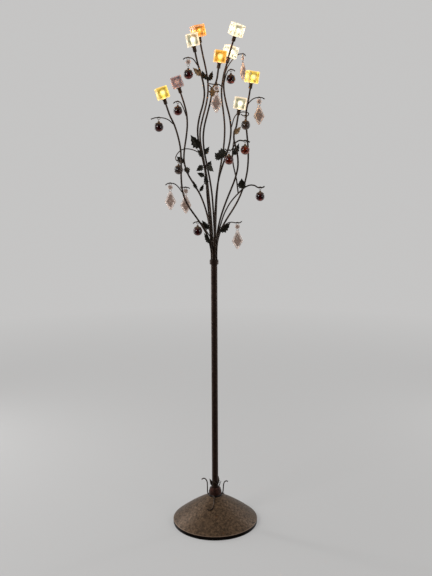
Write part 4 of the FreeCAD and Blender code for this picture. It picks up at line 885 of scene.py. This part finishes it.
points, solids = solids_of(frame["nodes"]["leaves"].data)
leaf_places = [leaf_place(points, triangles) for triangles in solids]
print("leaves:", len(leaf_places), "lengths in mm:",
      [round(place[1] / MM) for place in leaf_places])

# %% Leaf surface
# Half of the outline: share of the length, share of the half width.
LEAF_EDGE = np.array([
    (0.16, 0.10), (0.20, 0.62), (0.29, 0.50), (0.36, 1.00), (0.48, 0.70), (0.56, 0.95),
    (0.66, 0.55), (0.74, 0.62), (0.84, 0.28), (1.00, 0.0)])
LEAF_FOLD = math.tan(math.radians(16))
LEAF_SHEET = 0.9 * MM
LEAF_BOW = 0.07
VEINS = 7
RIB_ROWS, RIB_SIDES = 18, 10


def leaf_bow(share, length):
    """The blade bows towards its face: 4 s (1 - s) of a share of its length."""
    return LEAF_BOW * length * 4 * share * (1 - share)


def capped(grid):
    """The grid with its first and last row drawn to a point, which closes both ends."""
    ends = [np.broadcast_to(row.mean(axis=0), row.shape)[None] for row in (grid[0], grid[-1])]
    return np.concatenate([ends[0], grid, ends[1]])


def blade(length, half):
    """A toothed sheet, folded along its rib, with veins; (along, across, out) in metres."""
    share = np.unique(np.concatenate([LEAF_EDGE[:, 0], np.linspace(0.16, 1, 40)]))[:, None]
    wide = half * np.interp(share, LEAF_EDGE[:, 0], LEAF_EDGE[:, 1])
    side = np.linspace(-1, 1, 17)[None, :]
    out = LEAF_FOLD * wide * np.abs(side) * (1.3 - 0.3 * np.abs(side))
    out = out + leaf_bow(share, length)
    vein = np.cos(2 * math.pi * (VEINS * share - 1.6 * np.abs(side)))
    out = out + 0.28 * MM * vein * (1 - side**2) * np.minimum(1, wide / (0.3 * half))
    out = out + 0.9 * MM * np.sin(2 * math.pi * 3 * share + 1.5 * side) * side**2 * wide / half
    front = np.stack(np.broadcast_arrays(length * share, wide * side, out), axis=-1)
    back = front - np.array([0, 0, LEAF_SHEET])
    loop = capped(np.concatenate([front, back[:, ::-1]], axis=1))
    return loop, grid_faces(len(loop), loop.shape[1], True)


def rib(length):
    """The stalk and middle rib: a tapering round wire that follows the blade's bow."""
    share = np.linspace(0, 0.93, RIB_ROWS)
    thick = 1.1 * MM * (1 - 0.65 * share)
    turn = around(RIB_SIDES)[None, :]
    along = np.broadcast_to((length * share)[:, None], (RIB_ROWS, RIB_SIDES))
    across = thick[:, None] * np.cos(turn)
    out = (leaf_bow(share, length) - 0.4 * MM)[:, None] + thick[:, None] * np.sin(turn)
    wire = capped(np.stack([along, across, out], axis=-1))
    return wire, grid_faces(len(wire), RIB_SIDES, True)


# Leaves whose middle is nearer than this to a lit cube take the lamplit copy, painted light; the
# rest take the copy in painted shade.
LAMP_REACH = 105 * MM
lit_places = [lamp_frame(number)[0] for number, (finish, *_) in LAMPS.items()
              if finish is not unlit_glass]
for number, (foot, length, half, along, across, face) in enumerate(leaf_places, start=1):
    ways = np.stack([along, across, face])
    parts = [(grid @ ways + foot, faces) for grid, faces in (blade(length, half), rib(length))]
    middle = foot + along * length / 2
    near = min(np.linalg.norm(middle - place) for place in lit_places)
    leaf = piece("leaf_%d" % number, parts, leaf_lamplit_bronze if near < LAMP_REACH else leaf_in_shade_bronze,
                 "lamp")
    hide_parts("leaves")
print("points in a leaf:", len(leaf.data.vertices))

# %% [markdown]
# ## What hangs
# A pendant hangs from a twig by a ring. Under the ring come, for a drop: an eight-sided
# bead, a small link and a kite-shaped crystal; for a ball: a cap with an eye, and the ball.
# The frame's hinge gives the twig's place and direction, so each chain is worked out once
# around the origin and then turned and moved there.

# %% Chain sizes
TWIG = 3.4 * MM
RING = 4.6 * MM
RING_WIRE = 1.3 * MM
LINK = 4.2 * MM
LINK_WIRE = 1.0 * MM
BEAD = 16 * MM
BEAD_DEPTH = 6 * MM
HOLE_INSET = 2 * MM
DROP = (37 * MM, 63 * MM, 12 * MM)
DROP_SHOULDER = 36 * MM
DROP_TIP = 5 * MM
DROP_HOLE = 2.6 * MM
BALL = 30 * MM
EYE = 2.6 * MM
EYE_WIRE = 1.2 * MM
CAP = 7 * MM
ring_middle = TWIG / 2 + 0.3 * MM + RING_WIRE / 2 - RING
ring_low = ring_middle - RING
bead_middle = ring_low - BEAD / 2 + HOLE_INSET
link_middle = bead_middle - BEAD / 2 + HOLE_INSET - LINK
link_low = link_middle - LINK
FLAT_ENOUGH = 0.97
BEADED_BALL = "ball_pendant_3"
drop_top = link_low + DROP_HOLE
print("drop hangs %.1f mm under the twig" % (-drop_top / MM))


# %% Chain surfaces
def hoop(radius, wire, height, across):
    """A wire ring: a small circle carried round a large one, upright, facing Y or X."""
    big = around(28)[:, None]
    small = around(10)[None, :]
    reach = radius + wire / 2 * np.cos(small)
    level = height + reach * np.sin(big)
    side = reach * np.cos(big)
    depth = np.broadcast_to(wire / 2 * np.sin(small), side.shape)
    first, second = (depth, side) if across else (side, depth)
    grid = np.stack([first, second, level], axis=-1)
    grid = np.concatenate([grid, grid[:1]])
    return grid, grid_faces(len(grid), 10, True)


def gem(outline, depth, middle, table, crown):
    """A cut stone: outline at the girdle, a table ring in front and behind, and a low peak."""
    rim = np.array(outline + outline[:1])
    centre = np.array([0.0, middle])
    layers = []
    girdle = 0.07 * depth
    for share, y in ((0, -depth / 2), (table * 0.45, -depth / 2), (table, -crown * depth / 2),
                     (1, -girdle), (1, girdle), (table, crown * depth / 2),
                     (table * 0.45, depth / 2), (0, depth / 2)):
        flat = centre + (rim - centre) * share
        layers.append(np.stack([flat[:, 0], np.full(len(flat), y), flat[:, 1]], axis=-1))
    grid = np.stack(layers)
    return grid, grid_faces(len(layers), len(rim), False)


def bead_part():
    """Eight corners round a circle; a corner points up."""
    corners = [math.radians(22.5 + 45 * k) for k in range(8)]
    reach = BEAD / 2 / math.cos(math.radians(22.5))
    outline = [(reach * math.cos(a), bead_middle + reach * math.sin(a)) for a in corners]
    return gem(outline, BEAD_DEPTH, bead_middle, 0.62, 0.9)


def drop_part():
    """The kite: narrow top, wide shoulders under the middle, narrow foot."""
    width, length, depth = DROP
    shoulder = drop_top - DROP_SHOULDER
    foot = drop_top - length
    tip = DROP_TIP / 2
    outline = [(-tip, drop_top), (tip, drop_top), (width / 2, shoulder), (tip, foot),
               (-tip, foot), (-width / 2, shoulder)]
    return gem(outline, depth, drop_top - length / 2, 0.66, 0.84)


def ball_parts(top):
    """The ball, its fluted cap and the cap's eye, under the wire whose middle is at top."""
    eye_middle = top + EYE_WIRE - EYE
    cap_top = eye_middle - EYE
    sag = BALL / 2 - math.sqrt((BALL / 2) ** 2 - (7.5 * MM) ** 2)
    middle = cap_top - CAP + sag - BALL / 2
    turn = np.linspace(-math.pi / 2, math.pi / 2, 33)
    ball = turned(BALL / 2 * np.cos(turn), middle + BALL / 2 * np.sin(turn), 48)
    return ball, cap_part(cap_top, middle), hoop(EYE, EYE_WIRE, eye_middle, True), middle


def cap_part(top, ball_middle):
    """A petalled cap: it follows the ball's skin, and its foot rises and falls round it."""
    columns = 64
    angle = around(columns)
    petals = 0.5 + 0.5 * np.cos(8 * angle)
    skin = BALL / 2 + 0.15 * MM
    low = math.radians(52) - math.radians(13) * petals
    rows = []
    for share in np.linspace(0, 1, 7):
        tilt = low * share + math.radians(82) * (1 - share)
        rows.append((skin * np.cos(tilt), ball_middle + skin * np.sin(tilt)))
    outer = []
    for share in np.linspace(0, 1, 7):
        tilt = low * (1 - share) + math.radians(76) * share
        swell = skin + 0.9 * MM + 0.35 * MM * petals * (1 - share)
        outer.append((swell * np.cos(tilt), ball_middle + swell * np.sin(tilt)))
    neck_top = top - 0.2 * MM
    for radius, height in ((3.3 * MM, neck_top - 1.6 * MM), (3.5 * MM, neck_top),
                           (2.2 * MM, top), (0, top)):
        outer.append((np.full(columns, radius), np.full(columns, height)))
    inside = [(np.zeros(columns), rows[0][1])]
    profile = inside + rows + outer
    grid = np.stack([
        np.stack([r * np.cos(angle), r * np.sin(angle), np.broadcast_to(z, (columns,))], -1)
        for r, z in profile])
    return grid, grid_faces(len(profile), columns, True)


# %% Hang the pendants
def mark_slant(made, across):
    """Keeps for each face how far it slants from the table: 0 on the table, 1 beside it."""
    mesh = made.data
    flat = np.abs(read(mesh.polygons, "normal") @ across)
    kept = mesh.attributes.new("slant", "FLOAT", "FACE")
    kept.data.foreach_set("value", (flat < FLAT_ENOUGH).astype(float))


def hang(name):
    """The twig's place, and turning that lays local X along the twig."""
    joint = swings[name]
    x, y, _ = joint["axis"]
    turning = turn_about("Z", math.degrees(math.atan2(y, x)))
    return np.array(joint["pos_m"]), turning


for name in sorted(swings):
    middle, turning = hang(name)
    ring = hoop(RING, RING_WIRE, ring_middle, False)
    is_drop = name.startswith("drop_")
    beaded = is_drop or name == BEADED_BALL
    metal = [ring]
    if beaded:
        metal.append(hoop(LINK, LINK_WIRE, link_middle, False))
        bead = piece(name + "_bead", moved([bead_part()], middle, turning), drop_glass, name,
                     smooth=False)
        mark_slant(bead, turning[:, 1])
        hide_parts(name)
    if is_drop:
        stone = piece(name + "_stone", moved([drop_part()], middle, turning), drop_glass, name,
                      smooth=False)
        mark_slant(stone, turning[:, 1])
    else:
        ball, cap, eye, height = ball_parts(link_low if beaded else ring_low)
        stone = piece(name + "_ball", moved([ball], middle, turning),
                      BALL_GLASS.get(name, deep_garnet), name)
        own_place(stone, "ball_place", middle + np.array([0, 0, height]), turning, BALL / 2)
        metal += [cap, eye]
    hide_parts(name)
    chain = piece(name + "_metal", moved(metal, middle, turning), cap_bronze, name)
    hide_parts(name)
print("pendants:", len(swings))

# %% [markdown]
# ## The studio
# A soft key light from the left, a weaker one from the right and two tall strips behind,
# whose reflections draw the light edges of pole and branches. The floor fades into the
# backdrop's own colour with distance, so no horizon shows, and only the camera, mirrors and
# glass see that colour: it adds no light to the lamp. Polished metal shows what stands in
# front of it, so reflections find that side of the room dark, as with a black cloth there.

# %% Light and floor
PALE = (0.56, 0.555, 0.55)
FRONT = (0.03, 0.025, 0.03)
AIM = Vector((0, 0, 1.0))
AIR = 0.42
# Each light: name, place, width and height in metres, power in watts.
LIGHTS = (("key", (-2.4, -2.4, 2.6), 1.1, 1.3, 50), ("fill", (2.6, -2.0, 1.8), 0.9, 1.1, 14),
          ("strip_left", (-1.6, 0.9, 1.2), 0.25, 2.2, 18),
          ("strip_right", (1.6, 1.1, 1.2), 0.20, 2.2, 8))
for name, place, wide, high, power in LIGHTS:
    light = bpy.data.lights.new(name, "AREA")
    light.shape = "RECTANGLE"
    light.size, light.size_y = wide, high
    light.energy = power
    holder = placed(name, light)
    holder.location = place
    holder.rotation_euler = (AIM - Vector(place)).to_track_quat("-Z", "Y").to_euler()


def front_group():
    """1 where a way points to the front of the room (-Y), 0 from the sides backwards."""
    tree, start, end = new_group("front", [("Way", VECTOR, (0, 0, 0))], [("Front", NUMBER)])
    way = node(tree, "ShaderNodeVectorMath", {0: start.outputs["Way"]},
               operation="NORMALIZE").outputs[0]
    depth = node(tree, "ShaderNodeSeparateXYZ", {0: way}).outputs["Y"]
    tree.links.new(remapped(tree, depth, -0.75, 0.0, 1.0, 0.0), end.inputs["Front"])
    return tree


FRONT_GROUP = front_group()


def backdrop(tree, way):
    """The backdrop's colour for the ray that sees it, and whether such a ray is looking."""
    path = node(tree, "ShaderNodeLightPath").outputs
    glossy = path["Is Glossy Ray"]
    front = node(tree, "ShaderNodeGroup", {"Way": way}, node_tree=FRONT_GROUP).outputs["Front"]
    dark = maths(tree, "MULTIPLY", glossy, front)
    seen = maths(tree, "MAXIMUM", maths(tree, "MAXIMUM", path["Is Camera Ray"], glossy),
                 path["Is Transmission Ray"])
    return mixed(tree, dark, PALE, FRONT), seen, dark


world = bpy.data.worlds.new("studio")
bpy.context.scene.world = world
world.use_nodes = True
tree = world.node_tree
tree.nodes.clear()
way = node(tree, "ShaderNodeTexCoord").outputs["Generated"]
colour, seen, _ = backdrop(tree, way)
air = node(tree, "ShaderNodeBackground", {"Color": (1, 1, 1, 1), "Strength": AIR})
wall = node(tree, "ShaderNodeBackground", {"Color": colour, "Strength": 1.0})
choice = node(tree, "ShaderNodeMixShader", {0: seen})
tree.links.new(air.outputs[0], choice.inputs[1])
tree.links.new(wall.outputs[0], choice.inputs[2])
node(tree, "ShaderNodeOutputWorld", {"Surface": choice.outputs[0]})

FLOOR = 60.0
FADE_FROM, FADE_TO = 0.5, 3.5
NEAR_EVEN = 0.45  # how much of the backdrop's even colour the floor has beside the lamp
floor_mesh = bpy.data.meshes.new("floor")
floor_mesh.from_pydata(
    [(-FLOOR, -FLOOR, 0), (FLOOR, -FLOOR, 0), (FLOOR, FLOOR, 0), (-FLOOR, FLOOR, 0)], [],
    [(0, 1, 2, 3)])
floor = placed("floor", floor_mesh)

pale_floor, tree, shader = new_material("pale floor")
constants(shader, {"Base Color": PALE + (1,), "Roughness": 0.9, "Specular IOR Level": 0.1})
place = own_axes(tree)
distance = node(tree, "ShaderNodeVectorMath", {0: place}, operation="LENGTH").outputs["Value"]
colour, seen, dark = backdrop(tree, place)
far = maths(tree, "MAXIMUM", remapped(tree, distance, FADE_FROM, FADE_TO, NEAR_EVEN, 1.0), dark)
fading = maths(tree, "MULTIPLY", far, seen)
plain_light = node(tree, "ShaderNodeEmission", {"Color": colour, "Strength": 1.0})
choice = node(tree, "ShaderNodeMixShader", {0: fading})
tree.links.new(shader.outputs[0], choice.inputs[1])
tree.links.new(plain_light.outputs[0], choice.inputs[2])
tree.links.new(choice.outputs[0], tree.nodes["Material Output"].inputs["Surface"])
floor_mesh.materials.append(pale_floor)
bpy.context.scene.view_settings.view_transform = "Standard"
print("floor half side: %.0f m" % FLOOR)
